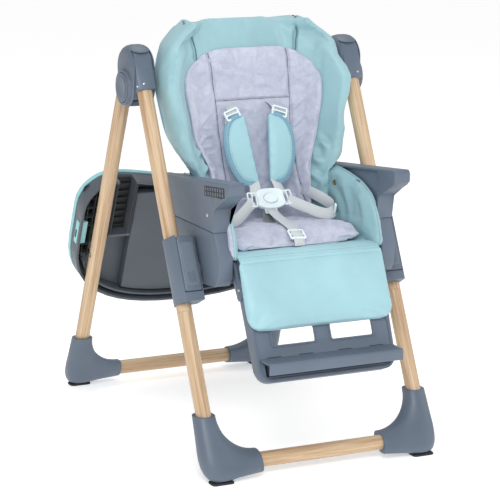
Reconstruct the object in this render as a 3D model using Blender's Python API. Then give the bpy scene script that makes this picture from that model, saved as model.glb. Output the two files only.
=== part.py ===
"""A folding baby high chair: two A-frames of wood-look tube that pivot at a pair of shoulder hubs, a padded
seat that slides up and down the front legs, a reclining backrest, a swinging leg rest and a stored tray.

Metres, +Z up, front towards -Y. Sizes are written in a frame whose y = 0 plane holds the hub pivot; the
empty named chair_origin shifts everything so that the footprint is centred on the world's origin.
"""

import math
from functools import partial

import bmesh
import bpy
from mathutils import Vector

# Frame
CENTRE_SHIFT = 0.0401
LEG_X = 0.26
TUBE_R = 0.017
TUBE_WALL = 0.0015
FIT_GAP = 0.0003
PIVOT = Vector((0.0, 0.0, 0.795))
FRONT_LEAN = math.radians(26.1)
REAR_LEAN = math.radians(22.4)
FRONT_AXIS_AHEAD = 0.039
REAR_AXIS_BEHIND = 0.0565
BAR_Z = 0.035

# Feet
FOOT_TOP = 0.135
FOOT_ARM_END = 0.15
FOOT_BASE = 0.0045
PAD_HEIGHT = 0.0042
SOCKET_DEPTH = 0.032

# Hub
HUB_INNER_X = 0.2315
HUB_OUTER_X = 0.2885
HUB_GAP_IN = 0.2378
HUB_GAP_OUT = 0.2828
HUB_LOW_R = 0.044
HUB_ARCH_R = 0.0525
HUB_ARCH = (0.003, 0.8375)
HUB_DOME = 0.0165
KNUCKLE_R = 0.030
PIN_R = 0.006
BUTTON_R = 0.033
BUTTON_RING_R = 0.0395
FRONT_SOCKET_LOW = -0.025
FRONT_SOCKET_ARCH = 0.0495
FRONT_SOCKET_R = 0.0225
REAR_SOCKET_R = 0.0198
REAR_TUBE_TOP = 0.006
FOLD_TRAVEL = math.radians(38.0)

# Height sleeve, measured along the front leg from the foot of the pivot's perpendicular
SLEEVE_LOW = -0.511
SLEEVE_TOP = -0.363
SLEEVE_FRONT = 0.0445
LEVER_LOW = -0.490
LEVER_TOP = -0.366
SLEEVE_BORE_R = 0.0177
LEG_SEAM = -0.527

# Seat
SEAT_HALF = 0.178
SEAT_CORNER_R = 0.032
SEAT_FRONT_Y = -0.308
SEAT_REAR_Y = -0.070
SEAT_FLOOR_FRONT = 0.452
SEAT_FLOOR_REAR = 0.436
SHELL_WALL = 0.004
COVER_OUT = 0.0165
NOSE_R = 0.0235
LEG_REST_AXIS = Vector((0.0, -0.325, 0.447))
RECLINE_AXIS = Vector((0.0, -0.045, 0.448))
HANDLE_AXIS = Vector((0.0, 0.030, 0.742))
HINGE_PIN_R = 0.004
HINGE_BORE_R = 0.0045
CASING_INNER_X = 0.1825
CASING_OUTER_X = 0.2205
ARM_INNER_X = 0.1805
CASING_SEAM_Z = 0.522

# Backrest: its rear face runs from BACK_LOW to BACK_TOP, and its wings curve forward
BACK_LOW = Vector((0.0, -0.045, 0.46))
BACK_TOP = Vector((0.0, 0.069, 0.94))
BACK_SHELL_T = 0.006
BACK_SQUARENESS = 5.0
BACK_HALVES = ((0.46, 0.152), (0.60, 0.160), (0.70, 0.206), (0.81, 0.2228), (0.88, 0.204), (0.94, 0.143))
BACK_DEPTHS = ((0.46, 0.115), (0.60, 0.150), (0.70, 0.166), (0.81, 0.178), (0.88, 0.150), (0.94, 0.140))
WING_TURN = math.radians(80.0)
LINER_TURN = math.radians(75.0)

# Harness: the middle line of each strap
WAIST_STRAP = (
    (0.046, -0.158, 0.549),
    (0.070, -0.164, 0.537),
    (0.094, -0.160, 0.523),
    (0.112, -0.146, 0.511),
)
SHOULDER_PAD = Vector((0.046, -0.096, 0.651))
SHOULDER_PAD_TURN = math.radians(6.3)
SHOULDER_STRAP_X = 0.056
CROTCH_STRAP = (
    (0.0, -0.176, 0.5335),
    (0.0, -0.200, 0.520),
    (0.0, -0.235, 0.5105),
    (0.0, -0.270, 0.5055),
    (0.0, -0.300, 0.5000),
)

# Leg rest, in its own plane hung from LEG_REST_AXIS
LEG_REST_LEAN = math.radians(23.5)
LEG_REST_TAPER = 0.13
FOOT_BAR_AXIS = Vector((0.0, -0.4405, 0.2645))
BOARD_HALF = 0.1725
BOARD_TOP = -0.030
BOARD_LOW = -0.262
BOARD_T = 0.026
CALF_PAD_T = 0.013
CALF_PAD_LOW = -0.155

# Tray, in its own plane behind the rear legs
TRAY_HALF = 0.304
TRAY_HEIGHT = 0.363
TRAY_CORNER_R = 0.080
TRAY_BELLY = 0.195
TRAY_DIP = 0.028
TRAY_FRONT = 0.019
TRAY_BACK = 0.060
TRAY_WALL = 0.006
TRAY_TOP_T = 0.0115
TRAY_LOW_Z = 0.200
PEG_UP = 0.178

SIDES = (("left", -1.0), ("right", 1.0))

FINISHES = {
    "plastic": ((0.117, 0.150, 0.184), 0.45, 0.0),
    "dark_plastic": ((0.028, 0.034, 0.040), 0.6, 0.0),
    "wood_look": ((0.680, 0.480, 0.300), 0.5, 0.0),
    "teal_leather": ((0.390, 0.640, 0.700), 0.5, 0.0),
    "teal_plastic": ((0.390, 0.640, 0.700), 0.35, 0.0),
    "velour": ((0.500, 0.500, 0.560), 0.9, 0.0),
    "webbing": ((0.600, 0.620, 0.640), 0.6, 0.0),
    "white_plastic": ((0.750, 0.850, 0.880), 0.35, 0.0),
    "rubber": ((0.030, 0.033, 0.037), 0.9, 0.0),
    "steel": ((0.600, 0.600, 0.600), 0.3, 1.0),
}


def clear_scene():
    for old in list(bpy.data.objects):
        bpy.data.objects.remove(old, do_unlink=True)


class Plane:
    """A drawing plane: at(a, b, n) is a along X, b along its second axis and n along its normal."""

    def __init__(self, origin, up, out):
        self.origin = Vector(origin)
        self.up = Vector(up).normalized()
        self.out = Vector(out).normalized()

    def at(self, across, up, out=0.0):
        return self.origin + Vector((across, 0.0, 0.0)) + self.up * up + self.out * out


def leaning_plane(origin, lean):
    """A plane whose up axis leans to the rear at the top by the given angle, facing the front."""
    up = (0.0, math.sin(lean), math.cos(lean))
    return Plane(origin, up, (0.0, -math.cos(lean), math.sin(lean)))


front_out = Vector((0.0, -math.cos(FRONT_LEAN), math.sin(FRONT_LEAN)))
rear_out = Vector((0.0, math.cos(REAR_LEAN), math.sin(REAR_LEAN)))
FRONT_LEG = leaning_plane(PIVOT + front_out * FRONT_AXIS_AHEAD, FRONT_LEAN)
REAR_LEG = Plane(
    PIVOT + rear_out * REAR_AXIS_BEHIND, (0.0, -math.sin(REAR_LEAN), math.cos(REAR_LEAN)), rear_out
)
LEG_REST = leaning_plane(LEG_REST_AXIS, LEG_REST_LEAN)
BUCKLE = leaning_plane((0.0, -0.149, 0.545), math.radians(35.0))


def height_along(plane, z):
    """The distance along a leg's plane at which its axis is z high."""
    return (z - plane.origin.z) / plane.up.z


TRAY = Plane(REAR_LEG.at(0.0, height_along(REAR_LEG, TRAY_LOW_Z)), REAR_LEG.up, REAR_LEG.out)
FRONT_BAR = FRONT_LEG.at(0.0, height_along(FRONT_LEG, BAR_Z))
REAR_BAR = REAR_LEG.at(0.0, height_along(REAR_LEG, BAR_Z))


def finish(name, key):
    colour, roughness, metallic = FINISHES[key]
    material = bpy.data.materials.new(f"{name}_{key}")
    material.use_nodes = True
    shader = material.node_tree.nodes["Principled BSDF"]
    shader.inputs["Base Color"].default_value = (*colour, 1.0)
    shader.inputs["Roughness"].default_value = roughness
    shader.inputs["Metallic"].default_value = metallic
    material.diffuse_color = (*colour, 1.0)
    return material


def solid(name, form, key=None, origin=(0.0, 0.0, 0.0)):
    """Turn a closed bmesh into an object whose own origin is the point given."""
    bmesh.ops.recalc_face_normals(form, faces=form.faces)
    bmesh.ops.translate(form, verts=form.verts, vec=-Vector(origin))
    mesh = bpy.data.meshes.new(name)
    form.to_mesh(mesh)
    form.free()
    thing = bpy.data.objects.new(name, mesh)
    bpy.context.collection.objects.link(thing)
    thing.location = origin
    thing.parent = ROOT
    mesh.shade_smooth()
    mesh.set_sharp_from_angle(angle=math.radians(35.0))
    if key:
        mesh.materials.append(finish(name, key))
    return thing


def combine(thing, other, operation):
    """Add a Boolean to a thing; the other object stays as a hidden tool."""
    other.hide_render = True
    other.display_type = "WIRE"
    step = thing.modifiers.new(operation.lower(), "BOOLEAN")
    step.operation = operation
    step.solver = "EXACT"
    step.object = other


def cut(thing, *tools):
    for tool in tools:
        combine(thing, tool, "DIFFERENCE")


def join(thing, *tools):
    for tool in tools:
        combine(thing, tool, "UNION")


def loft(rings):
    """A closed form through rings of the same number of points, capped at both ends."""
    form = bmesh.new()
    rows = [[form.verts.new(point) for point in ring] for ring in rings]
    count = len(rows[0])
    for low, high in zip(rows, rows[1:]):
        for i in range(count):
            form.faces.new((low[i], low[(i + 1) % count], high[(i + 1) % count], high[i]))
    form.faces.new(rows[0])
    form.faces.new(reversed(rows[-1]))
    return form


def soften(form, width, segments=2):
    """Round the edges between an extrusion's end faces and its sides."""
    caps = sorted(form.faces, key=lambda face: len(face.verts), reverse=True)[:2]
    edges = [edge for cap in caps for edge in cap.edges]
    bmesh.ops.bevel(form, geom=edges, offset=width, segments=segments, profile=0.5, affect="EDGES")
    return form


def prism(outline, plane, low, high):
    """An outline of (across, up) points in a plane, from out = low to out = high."""
    return loft([[plane.at(a, b, n) for a, b in outline] for n in (low, high)])


def side_prism(outline, x_low, x_high):
    """An outline of (y, z) points, extruded along X."""
    return loft([[Vector((x, y, z)) for y, z in outline] for x in (x_low, x_high)])


def box(low, high):
    outline = [(low[1], low[2]), (high[1], low[2]), (high[1], high[2]), (low[1], high[2])]
    return side_prism(outline, low[0], high[0])


def plane_box(plane, across, up, out):
    outline = [(across[0], up[0]), (across[1], up[0]), (across[1], up[1]), (across[0], up[1])]
    return prism(outline, plane, out[0], out[1])


def rod(start, end, radius, sides=24):
    start = Vector(start)
    end = Vector(end)
    along = (end - start).normalized()
    across = along.orthogonal().normalized()
    other = along.cross(across)
    turns = [2.0 * math.pi * i / sides for i in range(sides)]
    ring = [across * (radius * math.cos(t)) + other * (radius * math.sin(t)) for t in turns]
    return loft([[start + point for point in ring], [end + point for point in ring]])


def pipe(start, end, radius, wall, sides=24):
    """A round tube, open at both ends."""
    start = Vector(start)
    end = Vector(end)
    along = (end - start).normalized()
    across = along.orthogonal().normalized()
    other = along.cross(across)
    form = bmesh.new()
    loops = []
    for point, reach in ((start, radius), (end, radius), (end, radius - wall), (start, radius - wall)):
        turns = [math.tau * i / sides for i in range(sides)]
        ring = [point + across * (reach * math.cos(t)) + other * (reach * math.sin(t)) for t in turns]
        loops.append([form.verts.new(corner) for corner in ring])
    for k, low in enumerate(loops):
        high = loops[(k + 1) % 4]
        for i in range(sides):
            form.faces.new((low[i], low[(i + 1) % sides], high[(i + 1) % sides], high[i]))
    return form


def arc(centre, radius, start, end, steps):
    """Points on a circle from one angle to another, in degrees."""
    turns = [math.radians(start + (end - start) * i / steps) for i in range(steps + 1)]
    return [(centre[0] + radius * math.cos(t), centre[1] + radius * math.sin(t)) for t in turns]


def rounded_rectangle(left, right, low, high, radius, steps=4, top_radius=None):
    top = radius if top_radius is None else top_radius
    return (
        arc((right - radius, low + radius), radius, -90, 0, steps)
        + arc((right - top, high - top), top, 0, 90, steps)
        + arc((left + top, high - top), top, 90, 180, steps)
        + arc((left + radius, low + radius), radius, 180, 270, steps)
    )


def mirrored(points, side):
    return [(side * a, b) for a, b in points]


def blended(value, stops):
    """Smooth interpolation through (position, result) stops."""
    for (low, first), (high, second) in zip(stops, stops[1:]):
        if value <= high:
            share = max(0.0, (value - low) / (high - low))
            return first + (second - first) * share * share * (3.0 - 2.0 * share)
    return stops[-1][1]


# ---------------------------------------------------------------- legs, bars and feet


def build_tubes():
    top = FRONT_SOCKET_LOW + SOCKET_DEPTH
    low = height_along(FRONT_LEG, FOOT_TOP) - SOCKET_DEPTH
    rear_low = height_along(REAR_LEG, FOOT_TOP) - SOCKET_DEPTH
    for label, side in SIDES:
        x = side * LEG_X
        upper = pipe(FRONT_LEG.at(x, top), FRONT_LEG.at(x, LEG_SEAM), TUBE_R, TUBE_WALL)
        solid(f"front_leg_upper_{label}", upper, "wood_look")
        lower = pipe(FRONT_LEG.at(x, LEG_SEAM - FIT_GAP), FRONT_LEG.at(x, low), TUBE_R, TUBE_WALL)
        solid(f"front_leg_lower_{label}", lower, "wood_look")
        rear = pipe(REAR_LEG.at(x, REAR_TUBE_TOP), REAR_LEG.at(x, rear_low), TUBE_R, TUBE_WALL)
        solid(f"rear_leg_{label}", rear, "wood_look")
    half = FOOT_ARM_END + SOCKET_DEPTH
    for name, bar in (("front_crossbar", FRONT_BAR), ("rear_crossbar", REAR_BAR)):
        ends = [Vector((x, bar.y, bar.z)) for x in (-half, half)]
        solid(name, pipe(*ends, TUBE_R, TUBE_WALL), "wood_look")


def foot_ring(turn, side, bar, slope, sides=20):
    """One section of an L-shaped foot, between its hollow inner curve and its full outer corner."""
    cosine = max(0.0, math.cos(turn))
    sine = math.sin(turn)
    inner_x = FOOT_ARM_END + (LEG_X - 0.0245 - FOOT_ARM_END) * cosine
    inner_z = FOOT_TOP - (FOOT_TOP - BAR_Z - 0.0225) * sine
    bulge = 0.012 * math.sin(2.0 * turn)
    outer_x = FOOT_ARM_END + (LEG_X + 0.0245 - FOOT_ARM_END + bulge) * cosine**0.42
    outer_z = FOOT_TOP - (FOOT_TOP - 0.0125 + 1.7 * bulge) * sine**0.42
    half = Vector((outer_x - inner_x, 0.0, outer_z - inner_z)) * 0.5
    centre = Vector((outer_x + inner_x, 0.0, outer_z + inner_z)) * 0.5
    depth = 0.0245 + 0.005 * math.sin(2.0 * turn)
    ring = []
    for i in range(sides):
        angle = 2.0 * math.pi * i / sides
        reach = math.copysign(abs(math.cos(angle)) ** 0.85, math.cos(angle))
        width = math.copysign(abs(math.sin(angle)) ** 0.85, math.sin(angle))
        point = centre + half * reach
        point.z = max(point.z, FOOT_BASE)
        y = bar.y + (point.z - BAR_Z) * slope + depth * width
        ring.append(Vector((side * point.x, y, point.z)))
    return ring


def build_feet():
    ends = (
        ("front", FRONT_LEG, FRONT_BAR, math.tan(FRONT_LEAN)),
        ("rear", REAR_LEG, REAR_BAR, -math.tan(REAR_LEAN)),
    )
    for place, leg, bar, slope in ends:
        for label, side in SIDES:
            name = f"{place}_foot_{label}"
            turns = [math.radians(90.0) * i / 12 for i in range(13)]
            foot = solid(name, loft([foot_ring(t, side, bar, slope) for t in turns]), "plastic")
            mouth = height_along(leg, FOOT_TOP)
            bore = rod(
                leg.at(side * LEG_X, mouth + 0.03),
                leg.at(side * LEG_X, mouth - SOCKET_DEPTH - 0.001),
                TUBE_R + FIT_GAP,
            )
            inner = side * (FOOT_ARM_END - 0.02)
            deep = side * (FOOT_ARM_END + SOCKET_DEPTH + 0.001)
            bar_bore = rod((inner, bar.y, bar.z), (deep, bar.y, bar.z), TUBE_R + FIT_GAP)
            cut(foot, solid(f"{name}_leg_bore", bore), solid(f"{name}_bar_bore", bar_bore))
            y = bar.y - BAR_Z * slope
            outline = rounded_rectangle(y - 0.016, y + 0.016, -0.026, 0.026, 0.008, 3)
            pad = loft([[Vector((side * 0.247 + b, a, z)) for a, b in outline] for z in (0.0, PAD_HEIGHT)])
            solid(f"{place}_foot_pad_{label}", pad, "rubber")


# ---------------------------------------------------------------- shoulder hubs


def circle_hull(circles, steps=40):
    """The outline of the smallest convex shape round some (y, z, radius) circles."""
    outline = []
    for i in range(steps):
        angle = 2.0 * math.pi * i / steps
        way = (math.cos(angle), math.sin(angle))
        y, z, radius = max(circles, key=lambda c: c[0] * way[0] + c[1] * way[1] + c[2])
        outline.append((y + radius * way[0], z + radius * way[1]))
    return outline


def in_front_leg(n, s):
    """A (y, z) point from a distance ahead of the pivot and a distance up the front leg."""
    point = PIVOT + FRONT_LEG.out * n + FRONT_LEG.up * s
    return point.y, point.z


def build_front_socket(label, side):
    low = side * (HUB_GAP_IN + 0.0016)
    high = side * (HUB_GAP_OUT - 0.0016)
    ahead = FRONT_AXIS_AHEAD
    outline = [in_front_leg(ahead + FRONT_SOCKET_R, FRONT_SOCKET_LOW)]
    outline += [in_front_leg(a, b) for a, b in arc((ahead, FRONT_SOCKET_ARCH), FRONT_SOCKET_R, 0, 180, 12)]
    outline += [in_front_leg(ahead - FRONT_SOCKET_R, FRONT_SOCKET_LOW)]
    socket = solid(f"front_hub_socket_{label}", soften(side_prism(outline, low, high), 0.004), "plastic")
    knuckle = rod((low, PIVOT.y, PIVOT.z), (high, PIVOT.y, PIVOT.z), KNUCKLE_R, 28)
    join(socket, solid(f"front_hub_knuckle_{label}", knuckle))
    bore = rod(
        FRONT_LEG.at(side * LEG_X, FRONT_SOCKET_LOW - 0.02),
        FRONT_LEG.at(side * LEG_X, FRONT_SOCKET_LOW + SOCKET_DEPTH + 0.001),
        TUBE_R + FIT_GAP,
    )
    pin_bore = rod((side * 0.22, 0.0, PIVOT.z), (side * 0.30, 0.0, PIVOT.z), PIN_R + FIT_GAP, 16)
    cut(socket, solid(f"front_hub_bore_{label}", bore), solid(f"front_hub_pin_bore_{label}", pin_bore))


def hub_cavity_outline():
    """The space swept by the front socket and knuckle as the legs fold together."""
    reach = 0.0868
    upper = 80.0
    lower = -80.0 - math.degrees(FOLD_TRAVEL)
    swept = arc((0.0, 0.0), reach, upper, lower, 26)
    disc = arc((0.0, 0.0), KNUCKLE_R + 0.0025, lower, upper - 360.0, 24)
    return [in_front_leg(a, b) for a, b in swept + disc]


def domed_hub(side):
    """The hub's arched body, its edges rounded into a dome across X."""
    middle = (HUB_INNER_X + HUB_OUTER_X) / 2.0
    half = (HUB_OUTER_X - HUB_INNER_X) / 2.0
    rings = []
    for share in (-1.0, -0.95, -0.83, -0.62, -0.30, 0.30, 0.62, 0.83, 0.95, 1.0):
        inset = HUB_DOME * (1.0 - math.sqrt(max(0.0, 1.0 - abs(share) ** 3.0)))
        circles = ((PIVOT.y, PIVOT.z, HUB_LOW_R - 0.35 * inset), (*HUB_ARCH, HUB_ARCH_R - inset))
        x = side * (middle + half * share)
        rings.append([Vector((x, y, z)) for y, z in circle_hull(circles)])
    return loft(rings)


def build_rear_hub(label, side):
    shell = solid(f"rear_hub_shell_{label}", domed_hub(side), "plastic")
    ring = rod((side * 0.277, 0.0, PIVOT.z), (side * 0.2945, 0.0, PIVOT.z), BUTTON_RING_R, 32)
    centre = Plane(REAR_LEG.at(side * LEG_X, 0.0), REAR_LEG.out, REAR_LEG.up)
    socket = prism(arc((0.0, 0.0), REAR_SOCKET_R, 0, 345, 23), centre, -0.026, 0.020)
    join(shell, solid(f"rear_hub_ring_{label}", ring), solid(f"rear_hub_socket_{label}", socket))
    cavity = side_prism(hub_cavity_outline(), side * HUB_GAP_IN, side * HUB_GAP_OUT)
    bore = rod(
        REAR_LEG.at(side * LEG_X, -0.10),
        REAR_LEG.at(side * LEG_X, REAR_TUBE_TOP + 0.001),
        TUBE_R + FIT_GAP,
    )
    pin_bore = rod((side * 0.22, 0.0, PIVOT.z), (side * 0.2849, 0.0, PIVOT.z), PIN_R + FIT_GAP, 16)
    recess = rod((side * 0.2857, 0.0, PIVOT.z), (side * 0.30, 0.0, PIVOT.z), BUTTON_R + 0.0006, 32)
    tools = {"cavity": cavity, "bore": bore, "pin_bore": pin_bore, "recess": recess}
    for word, form in tools.items():
        cut(shell, solid(f"rear_hub_{word}_{label}", form))


def build_hubs():
    for label, side in SIDES:
        build_front_socket(label, side)
        build_rear_hub(label, side)
        pin = solid(
            f"pivot_pin_{label}",
            rod((side * 0.229, 0.0, PIVOT.z), (side * 0.2846, 0.0, PIVOT.z), PIN_R, 16),
            "steel",
            (side * 0.255, 0.0, PIVOT.z),
        )
        head = rod((side * 0.2285, 0.0, PIVOT.z), (side * 0.2306, 0.0, PIVOT.z), 0.011, 20)
        join(pin, solid(f"pivot_pin_head_{label}", head))
        face = circle_hull(((PIVOT.y, PIVOT.z, BUTTON_R),), 32)
        form = soften(side_prism(face, side * 0.2902, side * 0.2975), 0.0012, 1)
        solid(f"fold_button_{label}", form, "plastic", (side * 0.294, 0.0, PIVOT.z))


# ---------------------------------------------------------------- seat


def sleeve_outline():
    """The sleeve's section as (outward, forward) points: a round rear that hugs the tube, an outer side
    that tapers forwards and a flat front face."""
    rear = arc((0.0, 0.0), 0.0205, 198, 350, 10)
    front = SLEEVE_FRONT
    bevelled = [(0.0203, 0.006), (0.0125, front - 0.003), (0.0095, front)]
    return [(-0.0333, 0.0)] + rear + bevelled + [(-0.0333, front)]


def build_sleeves():
    """The two height adjusters: each wraps a front leg and carries a squeeze lever on its face."""
    for label, side in SIDES:
        section = [(side * (LEG_X + a), b) for a, b in sleeve_outline()]
        rings = [[FRONT_LEG.at(a, s, n) for a, n in section] for s in (SLEEVE_LOW, SLEEVE_TOP)]
        sleeve = solid(f"height_sleeve_{label}", loft(rings), "plastic")
        middle = FRONT_LEG.at(0.0, (SLEEVE_LOW + SLEEVE_TOP) / 2.0, 0.020)
        boss = rod((side * 0.2209, middle.y, middle.z), (side * 0.2290, middle.y, middle.z), 0.018, 28)
        join(sleeve, solid(f"sleeve_boss_{label}", boss))
        bore = rod(
            FRONT_LEG.at(side * LEG_X, SLEEVE_LOW - 0.02),
            FRONT_LEG.at(side * LEG_X, SLEEVE_TOP + 0.02),
            SLEEVE_BORE_R,
        )
        pocket_x = sorted((side * (LEG_X - 0.0322), side * (LEG_X + 0.0098)))
        pocket_up = (LEVER_LOW - 0.0015, SLEEVE_TOP + 0.005)
        pocket = plane_box(FRONT_LEG, pocket_x, pocket_up, (SLEEVE_FRONT - 0.022, SLEEVE_FRONT + 0.01))
        cut(sleeve, solid(f"sleeve_bore_{label}", bore), solid(f"sleeve_pocket_{label}", pocket))
        inner, outer = sorted((side * (LEG_X - 0.0315), side * (LEG_X + 0.0090)))
        face = rounded_rectangle(inner, outer, LEVER_LOW, LEVER_TOP, 0.004, 3, 0.010)
        lever = soften(prism(face, FRONT_LEG, SLEEVE_FRONT - 0.012, SLEEVE_FRONT + 0.002), 0.003, 2)
        hinge = FRONT_LEG.at(side * LEG_X, LEVER_LOW + 0.018, SLEEVE_FRONT - 0.005)
        solid(f"height_lever_{label}", lever, "plastic", hinge)


def build_casings():
    """Lower side casings with the armrests above them."""
    lower = [(-0.052, CASING_SEAM_Z - 0.0005), (-0.322, CASING_SEAM_Z - 0.0005), (-0.345, 0.470)]
    lower += [(-0.345, 0.425), (-0.330, 0.405), (-0.240, 0.398), (-0.110, 0.404), (-0.095, 0.415)]
    lower_hollow = [(-0.063, 0.5175), (-0.319, 0.5175), (-0.340, 0.468), (-0.340, 0.428)]
    lower_hollow += [(-0.327, 0.4105), (-0.240, 0.4035), (-0.112, 0.4095), (-0.101, 0.417)]
    upper = [(-0.012, 0.598), (-0.389, 0.6415), (-0.396, 0.635), (-0.396, 0.616), (-0.386, 0.607)]
    upper += [(-0.325, 0.574), (-0.322, CASING_SEAM_Z), (-0.052, CASING_SEAM_Z), (-0.016, 0.586)]
    upper_hollow = [(-0.026, 0.5945), (-0.318, 0.628), (-0.318, 0.5265), (-0.056, 0.5265)]
    for label, side in SIDES:
        skin = side * (CASING_OUTER_X - 0.0035)
        casing = solid(
            f"seat_casing_{label}",
            side_prism(lower, side * CASING_INNER_X, side * CASING_OUTER_X),
            "plastic",
        )
        arm = solid(
            f"armrest_{label}",
            soften(side_prism(upper, side * ARM_INNER_X, side * CASING_OUTER_X), 0.003),
            "plastic",
        )
        near = side * (CASING_INNER_X - 0.01)
        taper = mirrored([(0.2208, -0.300), (0.26, -0.300), (0.26, -0.37), (0.2130, -0.37)], side)
        wedge = loft([[Vector((a, b, z)) for a, b in taper] for z in (0.36, CASING_SEAM_Z + 0.0002)])
        cut(
            casing,
            solid(f"casing_hollow_{label}", side_prism(lower_hollow, near, side * 0.1975)),
            solid(f"casing_taper_{label}", wedge),
        )
        slots = bmesh.new()
        for row in (0.600, 0.612):
            for i in range(5):
                y = -0.300 - 0.015 * i
                tilt = 0.0010 * i
                low = (side * 0.2175, y - 0.005, row + tilt)
                slot = box(low, (side * 0.224, y + 0.005, row + tilt + 0.007))
                mesh = bpy.data.meshes.new("slot")
                slot.to_mesh(mesh)
                slot.free()
                slots.from_mesh(mesh)
                bpy.data.meshes.remove(mesh)
        cut(
            arm,
            solid(f"arm_hollow_{label}", side_prism(upper_hollow, near, skin)),
            solid(f"arm_rack_{label}", slots),
        )


def seat_floor(y):
    share = (y - SEAT_FRONT_Y) / (SEAT_REAR_Y - SEAT_FRONT_Y)
    return SEAT_FLOOR_FRONT + (SEAT_FLOOR_REAR - SEAT_FLOOR_FRONT) * share


def wing_height(y):
    """The top edge of the seat's side wings, low at the front and level further back."""
    return blended(y, ((-0.310, 0.512), (-0.258, 0.600), (-0.060, 0.604)))


def trough(y, offset, top):
    """A U-shaped section across the seat at y, moved inwards by an offset."""
    half = SEAT_HALF - offset
    radius = SEAT_CORNER_R - offset
    floor = seat_floor(y) + offset
    left = arc((-half + radius, floor + radius), radius, 180, 270, 6)
    right = arc((half - radius, floor + radius), radius, 270, 360, 6)
    points = [(-half, top)] + left + right + [(half, top)]
    return [Vector((x, y, z)) for x, z in points]


def trough_slab(y_low, y_high, outer, inner, drop, steps=8):
    rings = []
    for i in range(steps + 1):
        y = y_low + (y_high - y_low) * i / steps
        top = wing_height(y) - drop
        rings.append(trough(y, outer, top) + list(reversed(trough(y, inner, top))))
    return loft(rings)


def build_seat():
    shell = solid(
        "seat_shell", trough_slab(SEAT_FRONT_Y, SEAT_REAR_Y, 0.0, SHELL_WALL, 0.006), "plastic"
    )
    nose_ends = [LEG_REST_AXIS + Vector((x, 0.0, 0.0)) for x in (-0.168, 0.168)]
    join(shell, solid("seat_nose", rod(*nose_ends, NOSE_R, 32)))
    for label, side in SIDES:
        plate = circle_hull(((RECLINE_AXIS.y, RECLINE_AXIS.z, 0.012), (-0.085, 0.462, 0.022)), 24)
        form = side_prism(plate, side * 0.1743, side * 0.1779)
        join(shell, solid(f"recline_plate_{label}", form))
    pins = (("leg_rest_pin", LEG_REST_AXIS), ("recline_pin", RECLINE_AXIS))
    for name, axis in pins:
        far = [axis + Vector((x, 0.0, 0.0)) for x in (-0.19, 0.19)]
        cut(shell, solid(f"{name}_bore", rod(*far, HINGE_BORE_R, 16)))
        ends = [axis + Vector((x, 0.0, 0.0)) for x in (-0.1777, 0.1777)]
        solid(name, rod(*ends, HINGE_PIN_R, 16), "steel", axis)
    cover = trough_slab(SEAT_FRONT_Y + 0.008, SEAT_REAR_Y - 0.004, 0.0045, COVER_OUT, 0.0)
    solid("seat_cover", cover, "teal_leather")
    rings = []
    for i in range(9):
        y = -0.296 + 0.196 * i / 8
        bulge = math.sin(math.pi * min(1.0, max(0.0, (i + 0.6) / 9.2))) ** 0.4
        outline = rounded_rectangle(-0.145, 0.145, 0.0005, 0.006 + 0.022 * bulge, 0.0025, 3, 0.0025)
        rings.append([Vector((x, y, seat_floor(y) + COVER_OUT + z)) for x, z in outline])
    solid("seat_liner", loft(rings), "velour")


# ---------------------------------------------------------------- backrest


def back_half(z):
    """Half the backrest's width at a height."""
    return blended(z, BACK_HALVES)


def back_depth(z):
    """How far the wings reach forward of the rear face at a height."""
    return blended(z, BACK_DEPTHS)


def cover_inset(z):
    """The cover's front face: its distance ahead of the rear face and in from the sides."""
    ahead = blended(z, ((0.46, 0.030), (0.60, 0.036), (0.76, 0.050), (0.875, 0.078), (0.94, 0.062)))
    inwards = blended(z, ((0.46, 0.026), (0.60, 0.032), (0.72, 0.040), (0.86, 0.042), (0.94, 0.040)))
    return ahead, inwards


def liner_inset(z, thickness):
    ahead, inwards = cover_inset(z)
    return ahead + thickness, inwards + thickness


def back_point(z, turn, rear_in, side_in):
    """A point on the backrest's rounded-square section at height z, moved in from the rear and sides."""
    half = back_half(z) - side_in
    depth = back_depth(z) - rear_in
    rear = BACK_LOW.lerp(BACK_TOP, (z - BACK_LOW.z) / (BACK_TOP.z - BACK_LOW.z))
    sine, cosine = math.sin(turn), math.cos(turn)
    reach = (abs(sine) ** BACK_SQUARENESS + abs(cosine) ** BACK_SQUARENESS) ** (-1.0 / BACK_SQUARENESS)
    ahead = rear_in + depth * (1.0 - reach * cosine)
    return Vector((half * reach * sine, rear.y - ahead, z))


def back_slab(z_low, z_high, reach, outer, inner, columns=16):
    """A curved layer of the backrest between two (forward, sideways) insets.

    Every layer shares the same heights, so their facets nest.
    """
    levels = [BACK_LOW.z + 0.03 * i for i in range(17)]
    rings = []
    for z in [z_low] + [level for level in levels if z_low + 0.004 < level < z_high - 0.004] + [z_high]:
        limit = reach(z)
        turns = [limit * (2.0 * j / columns - 1.0) for j in range(columns + 1)]
        near = [back_point(z, t, *outer(z)) for t in turns]
        far = [back_point(z, t, *inner(z)) for t in reversed(turns)]
        rings.append(near + far)
    return loft(rings)


def liner_reach(z):
    """The liner's edge: narrow at its rounded top, widest at the head, a little narrower at the waist."""
    stops = ((0.51, 0.86), (0.66, 0.93), (0.80, 1.0), (0.845, 0.94), (0.875, 0.55))
    return LINER_TURN * blended(z, stops)


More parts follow.
